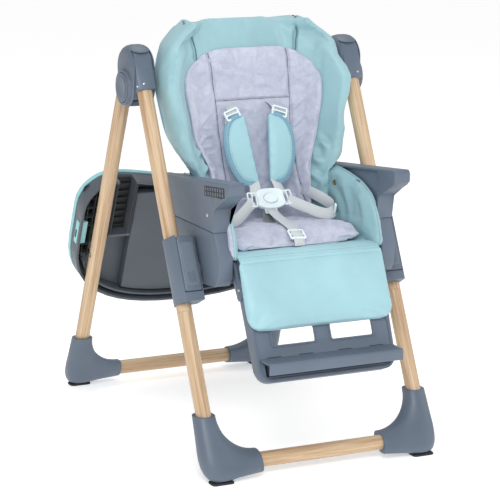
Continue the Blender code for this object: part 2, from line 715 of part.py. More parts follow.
def build_backrest():
    shell_in = (BACK_SHELL_T, BACK_SHELL_T)
    rear_face = back_slab(0.476, 0.938, lambda z: WING_TURN, lambda z: (0.0, 0.0), lambda z: shell_in)
    shell = solid("back_shell", rear_face, "plastic", RECLINE_AXIS)
    for label, side in SIDES:
        lug = circle_hull(((RECLINE_AXIS.y, RECLINE_AXIS.z, 0.010), (-0.0520, 0.4885, 0.0075)), 24)
        x = side * 0.100
        join(shell, solid(f"back_lug_{label}", side_prism(lug, x - 0.005, x + 0.005)))
        ear = circle_hull(((*HANDLE_AXIS.yz, 0.007), (HANDLE_AXIS.y - 0.006, HANDLE_AXIS.z, 0.008)), 20)
        join(shell, solid(f"handle_ear_{label}", side_prism(ear, side * 0.054, side * 0.061)))
    ends = [RECLINE_AXIS + Vector((x, 0.0, 0.0)) for x in (-0.12, 0.12)]
    ear_ends = [HANDLE_AXIS + Vector((x, 0.0, 0.0)) for x in (-0.08, 0.08)]
    cut(
        shell,
        solid("back_lug_bore", rod(*ends, HINGE_BORE_R, 16)),
        solid("handle_ear_bore", rod(*ear_ends, 0.0036, 12)),
    )
    cover_out = (BACK_SHELL_T + 0.0025, BACK_SHELL_T + 0.0025)
    cover = back_slab(0.500, 0.936, lambda z: WING_TURN, lambda z: cover_out, cover_inset)
    solid("back_cover", cover, "teal_leather", RECLINE_AXIS)
    near = partial(liner_inset, thickness=0.003)
    far = partial(liner_inset, thickness=0.014)
    liner = back_slab(0.512, 0.875, liner_reach, near, far, 14)
    solid("back_liner", liner, "velour", RECLINE_AXIS)
    outline = rounded_rectangle(-0.050, 0.050, HANDLE_AXIS.z - 0.048, HANDLE_AXIS.z + 0.002, 0.010, 3)
    faces = (HANDLE_AXIS.y - 0.006, HANDLE_AXIS.y + 0.006)
    grip = loft([[Vector((a, y, b)) for a, b in outline] for y in faces])
    handle = solid("recline_handle", soften(grip, 0.002, 1), "plastic", HANDLE_AXIS)
    axle = [HANDLE_AXIS + Vector((x, 0.0, 0.0)) for x in (-0.0605, 0.0605)]
    join(handle, solid("recline_handle_axle", rod(*axle, 0.003, 12)))


# ---------------------------------------------------------------- harness


def ribbon(points, across, width, thickness):
    """A flat strap through points, its width along one direction."""
    wide = Vector(across).normalized() * (width / 2.0)
    path = [Vector(point) for point in points]
    rings = []
    for i, point in enumerate(path):
        along = path[min(i + 1, len(path) - 1)] - path[max(i - 1, 0)]
        thick = along.cross(wide).normalized() * (thickness / 2.0)
        corners = ((-1, -1), (1, -1), (1, 1), (-1, 1))
        rings.append([point + wide * a + thick * b for a, b in corners])
    return loft(rings)


def build_harness():
    body_outline = rounded_rectangle(-0.043, 0.043, -0.022, 0.022, 0.010, 4)
    body = solid("buckle_body", soften(prism(body_outline, BUCKLE, 0.0, 0.013), 0.002, 1), "white_plastic")
    oval = [(0.0135 * math.cos(t), 0.0105 * math.sin(t)) for t in (math.tau * i / 24 for i in range(24))]
    recess = prism([(a * 1.05, b * 1.06) for a, b in oval], BUCKLE, 0.0055, 0.02)
    cut(body, solid("buckle_recess", recess))
    form = prism(oval, BUCKLE, 0.0090, 0.0145)
    button = solid("buckle_button", form, "white_plastic", BUCKLE.at(0, 0, 0.012))
    button.modifiers.new("edge", "BEVEL").width = 0.001
    for label, side in SIDES:
        centre = (side * SHOULDER_PAD.x, SHOULDER_PAD.y, SHOULDER_PAD.z)
        pad_plane = leaning_plane(centre, math.radians(18.0))
        turns = [math.pi * i / 12 for i in range(13)]
        flat = [(-0.026, -0.079), (-0.026, 0.079)]
        flat += [(0.050 * math.sin(t) - 0.008, 0.083 * math.cos(t)) for t in turns]
        sine, cosine = math.sin(SHOULDER_PAD_TURN), math.cos(SHOULDER_PAD_TURN)
        outline = mirrored([(a * cosine + b * sine, b * cosine - a * sine) for a, b in flat], side)
        pad = soften(prism(outline, pad_plane, 0.0, 0.012), 0.003)
        solid(f"shoulder_pad_{label}", pad, "teal_leather", RECLINE_AXIS)
        x = side * SHOULDER_STRAP_X
        strap = [(x, -0.0665, 0.7200), (x, -0.0585, 0.7360), (x, -0.0445, 0.7560)]
        solid(f"shoulder_strap_{label}", ribbon(strap, (1, 0, 0), 0.025, 0.0024), "webbing", RECLINE_AXIS)
        points = [(side * a, b, c) for a, b, c in WAIST_STRAP]
        solid(f"waist_strap_{label}", ribbon(points, (0, 0.35, 0.94), 0.025, 0.0024), "webbing")
    solid("crotch_strap", ribbon(CROTCH_STRAP, (1, 0, 0), 0.026, 0.003), "webbing")


# ---------------------------------------------------------------- leg rest and foot bar


def tapered(outline):
    """Narrow an outline of the leg rest towards its foot."""
    return [(a * (1.0 + LEG_REST_TAPER * b), b) for a, b in outline]


def build_leg_rest():
    outline = tapered(rounded_rectangle(-BOARD_HALF, BOARD_HALF, BOARD_LOW, BOARD_TOP, 0.028, 5, 0.008))
    board = solid(
        "footboard", soften(prism(outline, LEG_REST, 0.0, BOARD_T), 0.003), "plastic", LEG_REST_AXIS
    )
    inside = (-BOARD_HALF + 0.005, BOARD_HALF - 0.005, -0.216, BOARD_TOP - 0.005)
    hollow = prism(tapered(rounded_rectangle(*inside, 0.006, 2)), LEG_REST, -0.01, 0.0215)
    recess = plane_box(LEG_REST, (-0.150, 0.150), (-0.250, -0.223), (0.012, 0.04))
    for label, side in SIDES:
        x = sorted((side * 0.169, side * 0.1765))
        axis = (LEG_REST_AXIS.y, LEG_REST_AXIS.z)
        low = LEG_REST.at(0.0, -0.070, 0.011)
        lug = circle_hull(((*axis, 0.011), (low.y, low.z, 0.010)), 24)
        join(board, solid(f"footboard_lug_{label}", side_prism(lug, *x)))
    cut(board, solid("footboard_hollow", hollow), solid("footboard_recess", recess))
    for label, side in SIDES:
        window = rounded_rectangle(*sorted((side * 0.020, side * 0.122)), -0.184, -0.150, 0.004, 2)
        cut(board, solid(f"footboard_window_{label}", prism(window, LEG_REST, -0.01, 0.04)))
    ends = [LEG_REST_AXIS + Vector((x, 0.0, 0.0)) for x in (-0.19, 0.19)]
    cut(board, solid("footboard_bore", rod(*ends, HINGE_BORE_R, 16)))
    pad_low = BOARD_T + 0.0005
    pad = tapered(rounded_rectangle(-0.1775, 0.1775, CALF_PAD_LOW, -0.002, 0.035, 6, 0.004))
    form = soften(prism(pad, LEG_REST, pad_low, pad_low + CALF_PAD_T), 0.004)
    solid("calf_pad", form, "teal_leather", LEG_REST_AXIS)
    profile = [(-0.4380, 0.2625), (-0.4380, 0.2665), (-0.4840, 0.2665), (-0.4870, 0.2640), (-0.4870, 0.2420)]
    profile += [(-0.4830, 0.2420), (-0.4830, 0.2625)]
    solid("foot_bar", side_prism(profile, -0.162, 0.162), "plastic", FOOT_BAR_AXIS)


# ---------------------------------------------------------------- tray


def tray_outline(inset=0.0):
    """A full D shape whose straight edge, on the child's side, dips in the middle."""
    half = TRAY_HALF - inset
    corner = TRAY_CORNER_R - inset
    top = TRAY_HEIGHT - inset
    lower = []
    for i in range(25):
        angle = math.pi + math.pi * i / 24
        x = math.copysign(abs(math.cos(angle)) ** (2 / 2.5), math.cos(angle))
        y = math.copysign(abs(math.sin(angle)) ** (2 / 2.5), math.sin(angle))
        lower.append((half * x, TRAY_BELLY + (TRAY_BELLY - inset) * y))
    straight = half - corner
    dipped = []
    for i in range(1, 16):
        x = straight * (1.0 - i / 8.0)
        dipped.append((x, top - TRAY_DIP * (1.0 - (x / straight) ** 2) ** 2))
    right = arc((straight, top - corner), corner, 0, 90, 7)
    return lower + right + dipped + arc((-straight, top - corner), corner, 90, 180, 7)


def build_tray():
    base = solid("tray_base", prism(tray_outline(), TRAY, TRAY_FRONT, TRAY_BACK), "plastic")
    pocket = prism(tray_outline(TRAY_WALL), TRAY, TRAY_FRONT - 0.01, TRAY_BACK - 0.004)
    cut(base, solid("tray_pocket", pocket))
    floor = TRAY_BACK - 0.003
    for label, side in SIDES:
        channel_x = sorted((side * 0.1725, side * 0.2275))
        channel = plane_box(TRAY, channel_x, (0.205, 0.356), (TRAY_FRONT + 0.002, floor))
        block_x = sorted((side * 0.2495, side * 0.2705))
        block = plane_box(TRAY, block_x, (PEG_UP - 0.004, PEG_UP + 0.014), (TRAY_FRONT + 0.004, floor))
        join(base, solid(f"tray_channel_{label}", channel), solid(f"tray_peg_block_{label}", block))
        slot_x = sorted((side * 0.1785, side * 0.2215))
        slot = plane_box(TRAY, slot_x, (0.211, 0.38), (TRAY_FRONT - 0.01, TRAY_BACK - 0.008))
        notch_x = sorted((side * 0.2553, side * 0.2647))
        notch = plane_box(TRAY, notch_x, (PEG_UP - 0.02, PEG_UP + 0.005), (TRAY_FRONT, 0.0465))
        window_x = sorted((side * (TRAY_HALF - 0.018), side * (TRAY_HALF + 0.02)))
        window = plane_box(TRAY, window_x, (0.189, 0.251), (0.0265, 0.0435))
        cut(
            base,
            solid(f"tray_slot_{label}", slot),
            solid(f"tray_notch_{label}", notch),
            solid(f"tray_latch_window_{label}", window),
        )
        latch_x = sorted((side * (TRAY_HALF - 0.022), side * (TRAY_HALF + 0.0015)))
        latch = plane_box(TRAY, latch_x, (0.190, 0.250), (0.0275, 0.0425))
        solid(f"tray_latch_{label}", latch, "teal_plastic", TRAY.at(side * (TRAY_HALF - 0.010), 0.22, 0.035))
        peg = rod(TRAY.at(side * LEG_X, PEG_UP, 0.0174), TRAY.at(side * LEG_X, PEG_UP, 0.043), 0.004, 16)
        solid(f"tray_peg_{label}", peg, "steel")
    low = TRAY_BACK + 0.0005
    top = solid("tray_top", prism(tray_outline(-0.002), TRAY, low, low + TRAY_TOP_T), "teal_plastic")
    dish = prism(tray_outline(0.014), TRAY, low + 0.004, low + 0.04)
    cut(top, solid("tray_dish", dish))


clear_scene()
ROOT = bpy.data.objects.new("chair_origin", None)
bpy.context.collection.objects.link(ROOT)
ROOT.location = (0.0, CENTRE_SHIFT, 0.0)
build_tubes()
build_feet()
build_hubs()
build_sleeves()
build_casings()
build_seat()
build_backrest()
build_harness()
build_leg_rest()
build_tray()
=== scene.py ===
import math

import bmesh
import bpy
import numpy as np
from mathutils import Matrix, Vector, noise
from mathutils.bvhtree import BVHTree
from mathutils.kdtree import KDTree


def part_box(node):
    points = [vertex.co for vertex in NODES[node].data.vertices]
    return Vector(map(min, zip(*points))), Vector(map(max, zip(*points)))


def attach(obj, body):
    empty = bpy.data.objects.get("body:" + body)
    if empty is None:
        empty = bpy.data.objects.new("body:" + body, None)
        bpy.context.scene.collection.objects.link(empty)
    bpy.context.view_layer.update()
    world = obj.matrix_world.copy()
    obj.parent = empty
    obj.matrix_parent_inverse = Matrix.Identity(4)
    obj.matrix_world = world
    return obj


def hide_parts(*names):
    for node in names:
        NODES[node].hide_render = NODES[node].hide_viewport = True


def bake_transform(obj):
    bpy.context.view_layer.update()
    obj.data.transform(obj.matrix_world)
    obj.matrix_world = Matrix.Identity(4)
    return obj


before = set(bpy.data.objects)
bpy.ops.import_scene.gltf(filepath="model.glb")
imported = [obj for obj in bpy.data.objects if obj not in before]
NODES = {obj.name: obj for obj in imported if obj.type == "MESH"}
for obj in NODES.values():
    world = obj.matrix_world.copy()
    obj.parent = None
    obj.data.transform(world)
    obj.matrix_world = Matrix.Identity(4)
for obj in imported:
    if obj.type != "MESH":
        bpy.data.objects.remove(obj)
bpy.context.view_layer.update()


def middle(node):
    low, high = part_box(node)
    return (Vector(low) + Vector(high)) / 2.0


# All points below are written with y = 0 at the hub pivots; SHIFT moves them to the row frame.
SHIFT = middle("pivot_pin_left").y
SIDES = (("left", -1.0), ("right", 1.0))


def at(x, y, z):
    return Vector((x, y + SHIFT, z))


def linked(name, data):
    """A new object in the scene."""
    item = bpy.data.objects.new(name, data)
    bpy.context.scene.collection.objects.link(item)
    return item


class Plane:
    """A tilted plane: across is X, up runs along it and out is its normal."""

    def __init__(self, origin, up, out):
        self.origin, self.up, self.out = origin, Vector(up).normalized(), Vector(out).normalized()

    def at(self, across, up=0.0, out=0.0):
        point = self.origin + self.up * up + self.out * out
        return Vector((point.x + across, point.y, point.z))

    def matrix(self, across=0.0, up=0.0, out=0.0, turn=0.0):
        """A frame whose X is across, Y is up and Z is out, turned about its own Z."""
        x = self.up.cross(self.out)
        rows = Matrix((x, self.up, self.out)).transposed().to_4x4()
        return Matrix.Translation(self.at(across, up, out)) @ rows @ Matrix.Rotation(turn, 4, "Z")


def leaning(origin, lean):
    """A plane whose up direction leans backwards (for a positive angle) by lean, facing the front."""
    return Plane(origin, (0.0, math.sin(lean), math.cos(lean)), (0.0, -math.cos(lean), math.sin(lean)))


FRONT_LEG = Plane(at(0.0, -0.0350, 0.8122), (0.0, 0.4399, 0.8980), (0.0, -0.8980, 0.4399))
REAR_LEG = Plane(at(0.0, 0.0522, 0.8165), (0.0, -0.3811, 0.9245), (0.0, 0.9245, 0.3811))
LEG_REST = leaning(at(0.0, -0.325, 0.447), math.radians(23.5))
BUCKLE = leaning(at(0.0, -0.149, 0.545), math.radians(35.0))
TRAY_LOW = (0.200 - 0.8165) / 0.9245
TRAY = Plane(REAR_LEG.at(0.0, TRAY_LOW), REAR_LEG.up, REAR_LEG.out)

# ---------------------------------------------------------------- camera and light


def place_camera():
    azimuth, elevation, roll = math.radians(-26.27), math.radians(12.81), math.radians(0.767)
    target, distance = at(0.0275, 0.0, 0.3963), 5.0
    away = Vector(
        (
            math.sin(azimuth) * math.cos(elevation),
            -math.cos(azimuth) * math.cos(elevation),
            math.sin(elevation),
        )
    )
    right = (-away).cross(Vector((0.0, 0.0, 1.0))).normalized()
    up = right.cross(-away)
    x = right * math.cos(roll) + up * math.sin(roll)
    y = up * math.cos(roll) - right * math.sin(roll)
    data = bpy.data.cameras.new("camera")
    data.sensor_width = 36.0
    data.lens = 154.634
    camera = linked("camera", data)
    rows = Matrix((x, y, away)).transposed().to_4x4()
    camera.matrix_world = Matrix.Translation(target + away * distance) @ rows
    bpy.context.scene.camera = camera


def area_light(name, location, aim, size, power):
    data = bpy.data.lights.new(name, "AREA")
    data.shape = "DISK"
    data.size = size
    data.energy = power
    light = linked(name, data)
    light.location = location
    light.rotation_euler = (Vector(aim) - Vector(location)).to_track_quat("-Z", "Y").to_euler()


def place_lights():
    bpy.context.scene.view_settings.view_transform = "Standard"
    world = bpy.data.worlds.new("studio")
    bpy.context.scene.world = world
    world.use_nodes = True
    background = world.node_tree.nodes["Background"]
    background.inputs["Color"].default_value = (1.0, 1.0, 1.0, 1.0)
    background.inputs["Strength"].default_value = 0.58
    area_light("key_light", (-1.6, -3.4, 3.0), (0.0, 0.0, 0.5), 1.8, 92.0)
    area_light("fill_light", (3.2, -1.6, 1.6), (0.0, 0.0, 0.5), 2.6, 16.0)
    area_light("top_light", (0.3, 0.8, 3.6), (0.0, 0.0, 0.4), 2.4, 30.0)


FLOOR_HALF = 60.0


def place_floor():
    mesh = bpy.data.meshes.new("floor")
    corners = [(FLOOR_HALF * x, FLOOR_HALF * y, 0.0) for x, y in ((-1, -1), (1, -1), (1, 1), (-1, 1))]
    mesh.from_pydata(corners, [], [(0, 1, 2, 3)])
    floor = linked("floor", mesh)
    material = bpy.data.materials.new("pale_floor")
    material.use_nodes = True
    shader = material.node_tree.nodes["Principled BSDF"]
    shader.inputs["Base Color"].default_value = (0.93, 0.93, 0.93, 1.0)
    shader.inputs["Roughness"].default_value = 0.9
    shader.inputs["Emission Color"].default_value = (1.0, 1.0, 1.0, 1.0)
    shader.inputs["Emission Strength"].default_value = 0.42
    mesh.materials.append(material)


# ---------------------------------------------------------------- materials


def linear(red, green, blue):
    """The linear colour of 0 to 255 display values."""
    values = [channel / 255.0 for channel in (red, green, blue)]
    return tuple(v / 12.92 if v <= 0.04045 else ((v + 0.055) / 1.055) ** 2.4 for v in values)


class Shader:
    """A material being built from nodes round one Principled shader."""

    def __init__(self, name, roughness, metallic=0.0):
        self.material = bpy.data.materials.new(name)
        self.material.use_nodes = True
        self.tree = self.material.node_tree
        self.main = self.tree.nodes["Principled BSDF"]
        self.main.inputs["Roughness"].default_value = roughness
        self.main.inputs["Metallic"].default_value = metallic
        self.coordinates = self.tree.nodes.new("ShaderNodeTexCoord")
        self.bumped = None

    def link(self, source, target):
        self.tree.links.new(source, target)

    def mapped(self, scale=(1.0, 1.0, 1.0), source="Object"):
        mapping = self.tree.nodes.new("ShaderNodeMapping")
        mapping.inputs["Scale"].default_value = scale
        self.link(self.coordinates.outputs[source], mapping.inputs["Vector"])
        return mapping.outputs["Vector"]

    def noise(self, scale, detail=2.0, rough=0.5, vector=None, distortion=0.0):
        node = self.tree.nodes.new("ShaderNodeTexNoise")
        node.inputs["Scale"].default_value = scale
        node.inputs["Detail"].default_value = detail
        node.inputs["Roughness"].default_value = rough
        node.inputs["Distortion"].default_value = distortion
        self.link(vector or self.mapped(), node.inputs["Vector"])
        return node.outputs["Fac"]

    def voronoi(self, scale, feature="F1", vector=None):
        node = self.tree.nodes.new("ShaderNodeTexVoronoi")
        node.feature = feature
        node.inputs["Scale"].default_value = scale
        self.link(vector or self.mapped(), node.inputs["Vector"])
        return node.outputs["Distance"]

    def wave(self, scale, distortion, direction, vector=None):
        node = self.tree.nodes.new("ShaderNodeTexWave")
        node.bands_direction = direction
        node.inputs["Scale"].default_value = scale
        node.inputs["Distortion"].default_value = distortion
        self.link(vector or self.mapped(), node.inputs["Vector"])
        return node.outputs["Fac"]

    def ramp(self, source, stops):
        node = self.tree.nodes.new("ShaderNodeValToRGB")
        elements = node.color_ramp.elements
        while len(elements) < len(stops):
            elements.new(0.5)
        for element, (place, colour) in zip(elements, stops):
            element.position = place
            element.color = (*colour, 1.0) if len(colour) == 3 else colour
        self.link(source, node.inputs["Fac"])
        return node.outputs["Color"]

    def mix(self, first, second, factor, mode="MIX"):
        node = self.tree.nodes.new("ShaderNodeMix")
        node.data_type = "RGBA"
        node.blend_type = mode
        for name, value in (("A", first), ("B", second)):
            socket = [s for s in node.inputs if s.name == name and s.type == "RGBA"][0]
            if isinstance(value, tuple):
                socket.default_value = (*value, 1.0)
            else:
                self.link(value, socket)
        if isinstance(factor, float):
            node.inputs["Factor"].default_value = factor
        else:
            self.link(factor, node.inputs["Factor"])
        return [s for s in node.outputs if s.type == "RGBA"][0]

    def spread(self, source, low, high):
        """A 0 to 1 value turned into low to high."""
        node = self.tree.nodes.new("ShaderNodeMapRange")
        node.inputs["To Min"].default_value = low
        node.inputs["To Max"].default_value = high
        self.link(source, node.inputs["Value"])
        return node.outputs["Result"]

    def colour(self, source):
        self.link(source, self.main.inputs["Base Color"])

    def roughness(self, source):
        self.link(source, self.main.inputs["Roughness"])

    def bump(self, source, distance, strength=1.0):
        node = self.tree.nodes.new("ShaderNodeBump")
        node.inputs["Strength"].default_value = strength
        node.inputs["Distance"].default_value = distance
        self.link(source, node.inputs["Height"])
        if self.bumped:
            self.link(self.bumped, node.inputs["Normal"])
        self.bumped = node.outputs["Normal"]
        self.link(self.bumped, self.main.inputs["Normal"])

    def sheen(self, weight, roughness, tint=(1.0, 1.0, 1.0)):
        self.main.inputs["Sheen Weight"].default_value = weight
        self.main.inputs["Sheen Roughness"].default_value = roughness
        self.main.inputs["Sheen Tint"].default_value = (*tint, 1.0)

    def edge_highlight(self, base, highlight_colour, amount):
        """Painted highlight: the colour is made lighter along convex edges, standing in for the light they
        catch.
        """
        geometry = self.tree.nodes.new("ShaderNodeNewGeometry")
        edge = self.ramp(geometry.outputs["Pointiness"], ((0.515, (0.0,) * 3), (0.60, (amount,) * 3)))
        return self.mix(base, highlight_colour, edge)


def shade(rgb, factor):
    return tuple(min(1.0, channel * factor) for channel in rgb)


def plastic(name, rgb, roughness, grain=0.00006, highlight_strength=0.35):
    s = Shader(name, roughness)
    tone = s.ramp(s.noise(9.0, 3.0), ((0.35, shade(rgb, 0.93)), (0.65, shade(rgb, 1.06))))
    # the colour is lifted along convex edges as a painted highlight
    s.colour(s.edge_highlight(tone, shade(rgb, 1.5), highlight_strength))
    s.roughness(s.spread(s.noise(35.0, 2.0), roughness - 0.05, roughness + 0.07))
    s.bump(s.noise(1400.0, 2.0), grain)
    s.bump(s.noise(28.0, 1.0), 0.00025, 0.35)
    return s.material


def wood_print():
    """An oak grain print on a lacquered tube: the mesh's UV runs round the tube and along it, in metres."""
    s = Shader("wood_print", 0.42)
    streaks = s.noise(1.0, 5.0, 0.62, s.mapped((230.0, 5.0, 1.0), "UV"), 0.9)
    broad = s.noise(1.0, 2.0, 0.5, s.mapped((42.0, 1.3, 1.0), "UV"), 1.6)
    pores = s.noise(1.0, 2.0, 0.7, s.mapped((900.0, 28.0, 1.0), "UV"))
    grain = s.ramp(
        streaks,
        (
            (0.32, linear(152, 118, 86)),
            (0.43, linear(182, 150, 116)),
            (0.54, linear(206, 178, 144)),
            (0.70, linear(222, 200, 170)),
        ),
    )
    wide = s.ramp(
        broad,
        ((0.36, linear(168, 134, 100)), (0.52, linear(200, 172, 138)), (0.70, linear(218, 196, 164))),
    )
    tone = s.mix(grain, wide, 0.42)
    specks = s.ramp(pores, ((0.28, (0.72, 0.60, 0.48)), (0.40, (1.0, 1.0, 1.0))))
    s.colour(s.mix(tone, specks, 0.55, "MULTIPLY"))
    s.roughness(s.spread(streaks, 0.36, 0.52))
    s.bump(streaks, 0.00005, 0.5)
    s.main.inputs["Coat Weight"].default_value = 0.15
    s.main.inputs["Coat Roughness"].default_value = 0.35
    return s.material


def soft_leather(name, rgb, roughness=0.46):
    s = Shader(name, roughness)
    large = s.noise(7.0, 3.0)
    tone = s.ramp(large, ((0.33, shade(rgb, 0.93)), (0.66, shade(rgb, 1.05))))
    cells = s.voronoi(620.0)
    creases = s.ramp(s.voronoi(420.0, "DISTANCE_TO_EDGE"), ((0.0, (0.80,) * 3), (0.10, (1.0,) * 3)))
    s.colour(s.mix(tone, creases, 0.30, "MULTIPLY"))
    s.roughness(s.spread(s.noise(60.0, 2.0), roughness - 0.05, roughness + 0.08))
    s.bump(cells, 0.00016, 0.55)
    s.bump(s.noise(90.0, 2.0), 0.0004, 0.30)
    s.sheen(0.12, 0.5)
    return s.material


def velour():
    s = Shader("grey_velour", 0.86)
    crushed = s.noise(34.0, 5.0, 0.62, None, 1.4)
    brushed = s.noise(1.0, 4.0, 0.6, s.mapped((55.0, 55.0, 240.0)), 0.8)
    base = s.ramp(
        crushed,
        ((0.28, linear(176, 180, 198)), (0.50, linear(188, 192, 209)), (0.72, linear(199, 204, 219))),
    )
    threads = s.ramp(brushed, ((0.30, (0.90, 0.90, 0.91)), (0.62, (1.0, 1.0, 1.0))))
    s.colour(s.mix(base, threads, 0.8, "MULTIPLY"))
    s.bump(s.noise(1500.0, 2.0, 0.7), 0.0004, 0.6)
    s.bump(brushed, 0.0005, 0.4)
    s.sheen(0.65, 0.42, (0.95, 0.95, 1.0))
    return s.material


def webbing(name, rgb):
    """A ribbed woven tape: the mesh's UV runs across the tape and along it, in metres."""
    s = Shader(name, 0.46)
    ribs = s.wave(95.0, 0.6, "X", s.mapped(source="UV"))
    picks = s.wave(190.0, 0.8, "Y", s.mapped(source="UV"))
    weave = s.mix(
        s.ramp(ribs, ((0.15, shade(rgb, 0.80)), (0.7, shade(rgb, 1.08)))),
        s.ramp(picks, ((0.2, (0.90,) * 3), (0.8, (1.0,) * 3))),
        0.7,
        "MULTIPLY",
    )
    s.colour(weave)
    s.bump(ribs, 0.00025, 0.8)
    s.bump(picks, 0.00016, 0.6)
    s.sheen(0.35, 0.3)
    return s.material


def thread(name, rgb):
    s = Shader(name, 0.6)
    twist = s.wave(900.0, 0.5, "DIAGONAL")
    s.colour(s.ramp(twist, ((0.2, shade(rgb, 0.75)), (0.8, shade(rgb, 1.1)))))
    s.bump(twist, 0.0001)
    return s.material


def metal(name, rgb, roughness):
    s = Shader(name, roughness, 1.0)
    scratch = s.noise(1.0, 3.0, 0.6, s.mapped((1800.0, 1800.0, 60.0)))
    s.colour(s.ramp(scratch, ((0.3, shade(rgb, 0.88)), (0.7, shade(rgb, 1.05)))))
    s.roughness(s.spread(scratch, roughness - 0.06, roughness + 0.1))
    s.bump(scratch, 0.00003, 0.5)
    return s.material


# One teal leather in a shaded and a lit copy: the darker copy paints the shade on the headrest, and the
# lighter copy paints light on the calf pad, front roll and shoulder pads.
TEAL = linear(147, 186, 194)
LIT_TEAL = linear(158, 200, 209)
GREY = linear(91, 103, 118)
PLASTIC = plastic("grey_plastic", GREY, 0.42)
TRAY_GREY = plastic("tray_grey_plastic", linear(79, 86, 94), 0.40)
# Black plastic, also used as painted shade: the ribs in the footboard's recess and the hinge and latch slots
# are dark plates where there is only shade.
DARK_PLASTIC_AND_SHADE = plastic("black_plastic", linear(40, 42, 43), 0.55, 0.0001, 0.2)
TEAL_PLASTIC = plastic("teal_plastic", linear(150, 205, 210), 0.33, 0.00003, 0.15)
WHITE = plastic("white_plastic", linear(226, 238, 242), 0.30, 0.00002, 0.1)
RUBBER = plastic("rubber", linear(46, 48, 52), 0.85, 0.00015, 0.1)
WOOD = wood_print()
LEATHER = soft_leather("teal_soft_leather", TEAL)
LIT_LEATHER = soft_leather("light_teal_soft_leather", LIT_TEAL)
BINDING = soft_leather("blue_binding", linear(122, 164, 184), 0.5)
VELOUR = velour()
WEBBING = webbing("webbing", linear(204, 209, 212))
SHADE_WEBBING = webbing("shaded_webbing", linear(120, 124, 126))
# The lever face's grey is glossier than the other plastic, which is its own finish, and is painted lighter to
# stand in for the light its front face catches.
GLOSS_LIT_GREY = plastic("gloss_grey_plastic", linear(104, 116, 129), 0.22, 0.00002, 0.2)
# The thread colours serve the real stitches and also the dark cords laid in the seam grooves, which paint the
# seams' shadow.
TEAL_THREAD_AND_SEAM_SHADE = thread("teal_thread", linear(88, 124, 130))
GREY_THREAD_AND_SEAM_SHADE = thread("grey_thread", linear(112, 114, 130))
STEEL = metal("steel", (0.66, 0.66, 0.66), 0.28)
BRASS = metal("brass", linear(170, 140, 92), 0.32)

# ---------------------------------------------------------------- mesh helpers


def piece(name, form, material, body, smooth=40.0):
    """A form shown as a piece that rides on a body, where there is one."""
    mesh = bpy.data.meshes.new(name)
    bmesh.ops.recalc_face_normals(form, faces=form.faces)
    form.to_mesh(mesh)
    form.free()
    mesh.materials.append(material)
    shape = linked(name, mesh)
    smooth_by_angle(mesh, smooth)
    if body:
        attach(shape, body)
    return shape


def smooth_by_angle(mesh, degrees):
    mesh.polygons.foreach_set("use_smooth", [True] * len(mesh.polygons))
    if degrees < 180.0:
        mesh.set_sharp_from_angle(angle=math.radians(degrees))


def add_rings(form, rings, closed=False):
    """Faces through rings of equal length, capped at both ends unless closed joins the last to the first."""
    rows = [[form.verts.new(point) for point in ring] for ring in rings]
    count = len(rows[0])
    pairs = list(zip(rows, rows[1:])) + ([(rows[-1], rows[0])] if closed else [])
    for low, high in pairs:
        for i in range(count):
            form.faces.new((low[i], low[(i + 1) % count], high[(i + 1) % count], high[i]))
    if not closed:
        form.faces.new(rows[0])
        form.faces.new(reversed(rows[-1]))


def loft(rings, closed=False):
    form = bmesh.new()
    add_rings(form, rings, closed)
    return form


def sweep(points, profile, closed=False, across=None):
    """A profile of (side, out) points carried along a path, with a UV across and along in metres.

    across is the direction the profile's side axis keeps to; without it the frame turns with the path.
    """
    path = [Vector(p) for p in points]
    count = len(path)
    form = bmesh.new()
    layer = form.loops.layers.uv.new("UVMap")
    rows, runs = [], []
    run = 0.0
    last_side = None
    for i, point in enumerate(path):
        if closed:
            along = path[(i + 1) % count] - path[i - 1]
        else:
            along = path[min(i + 1, count - 1)] - path[max(i - 1, 0)]
        along.normalize()
        if across is not None:
            side = Vector(across)
        elif last_side is None:
            side = along.orthogonal()
        else:
            side = last_side
        side = (side - along * side.dot(along)).normalized()
        last_side = side
        out = along.cross(side)
        rows.append([form.verts.new(point + side * a + out * b) for a, b in profile])
        if i:
            run += (path[i] - path[i - 1]).length
        runs.append(run)
    around = [0.0]
    for (a, b), (c, d) in zip(profile, profile[1:] + profile[:1]):
        around.append(around[-1] + math.hypot(c - a, d - b))
    sides = len(profile)
    steps = count if closed else count - 1
    for i in range(steps):
        j = (i + 1) % count
        end = runs[j] if j else runs[i] + (path[0] - path[i]).length
        for k in range(sides):
            m = (k + 1) % sides
            face = form.faces.new((rows[i][k], rows[i][m], rows[j][m], rows[j][k]))
            corners = ((around[k], runs[i]), (around[k + 1], runs[i]), (around[k + 1], end), (around[k], end))
            for loop, uv in zip(face.loops, corners):
                loop[layer].uv = uv
    if not closed:
        form.faces.new(rows[0])
        form.faces.new(reversed(rows[-1]))
    return form


def ellipse(across, up, sides):
    turns = [math.tau * i / sides for i in range(sides)]
    return [(across * math.cos(t), up * math.sin(t)) for t in turns]


def circle(radius, sides=10):
    return ellipse(radius, radius, sides)


def tape(width, thickness):
    """The rounded section of a strap."""
    half, thick = width / 2.0, thickness / 2.0
    return [
        (-half, 0.0), (-half + thick, -thick), (0.0, -thick), (half - thick, -thick),
        (half, 0.0), (half - thick, thick), (0.0, thick), (-half + thick, thick),
    ]


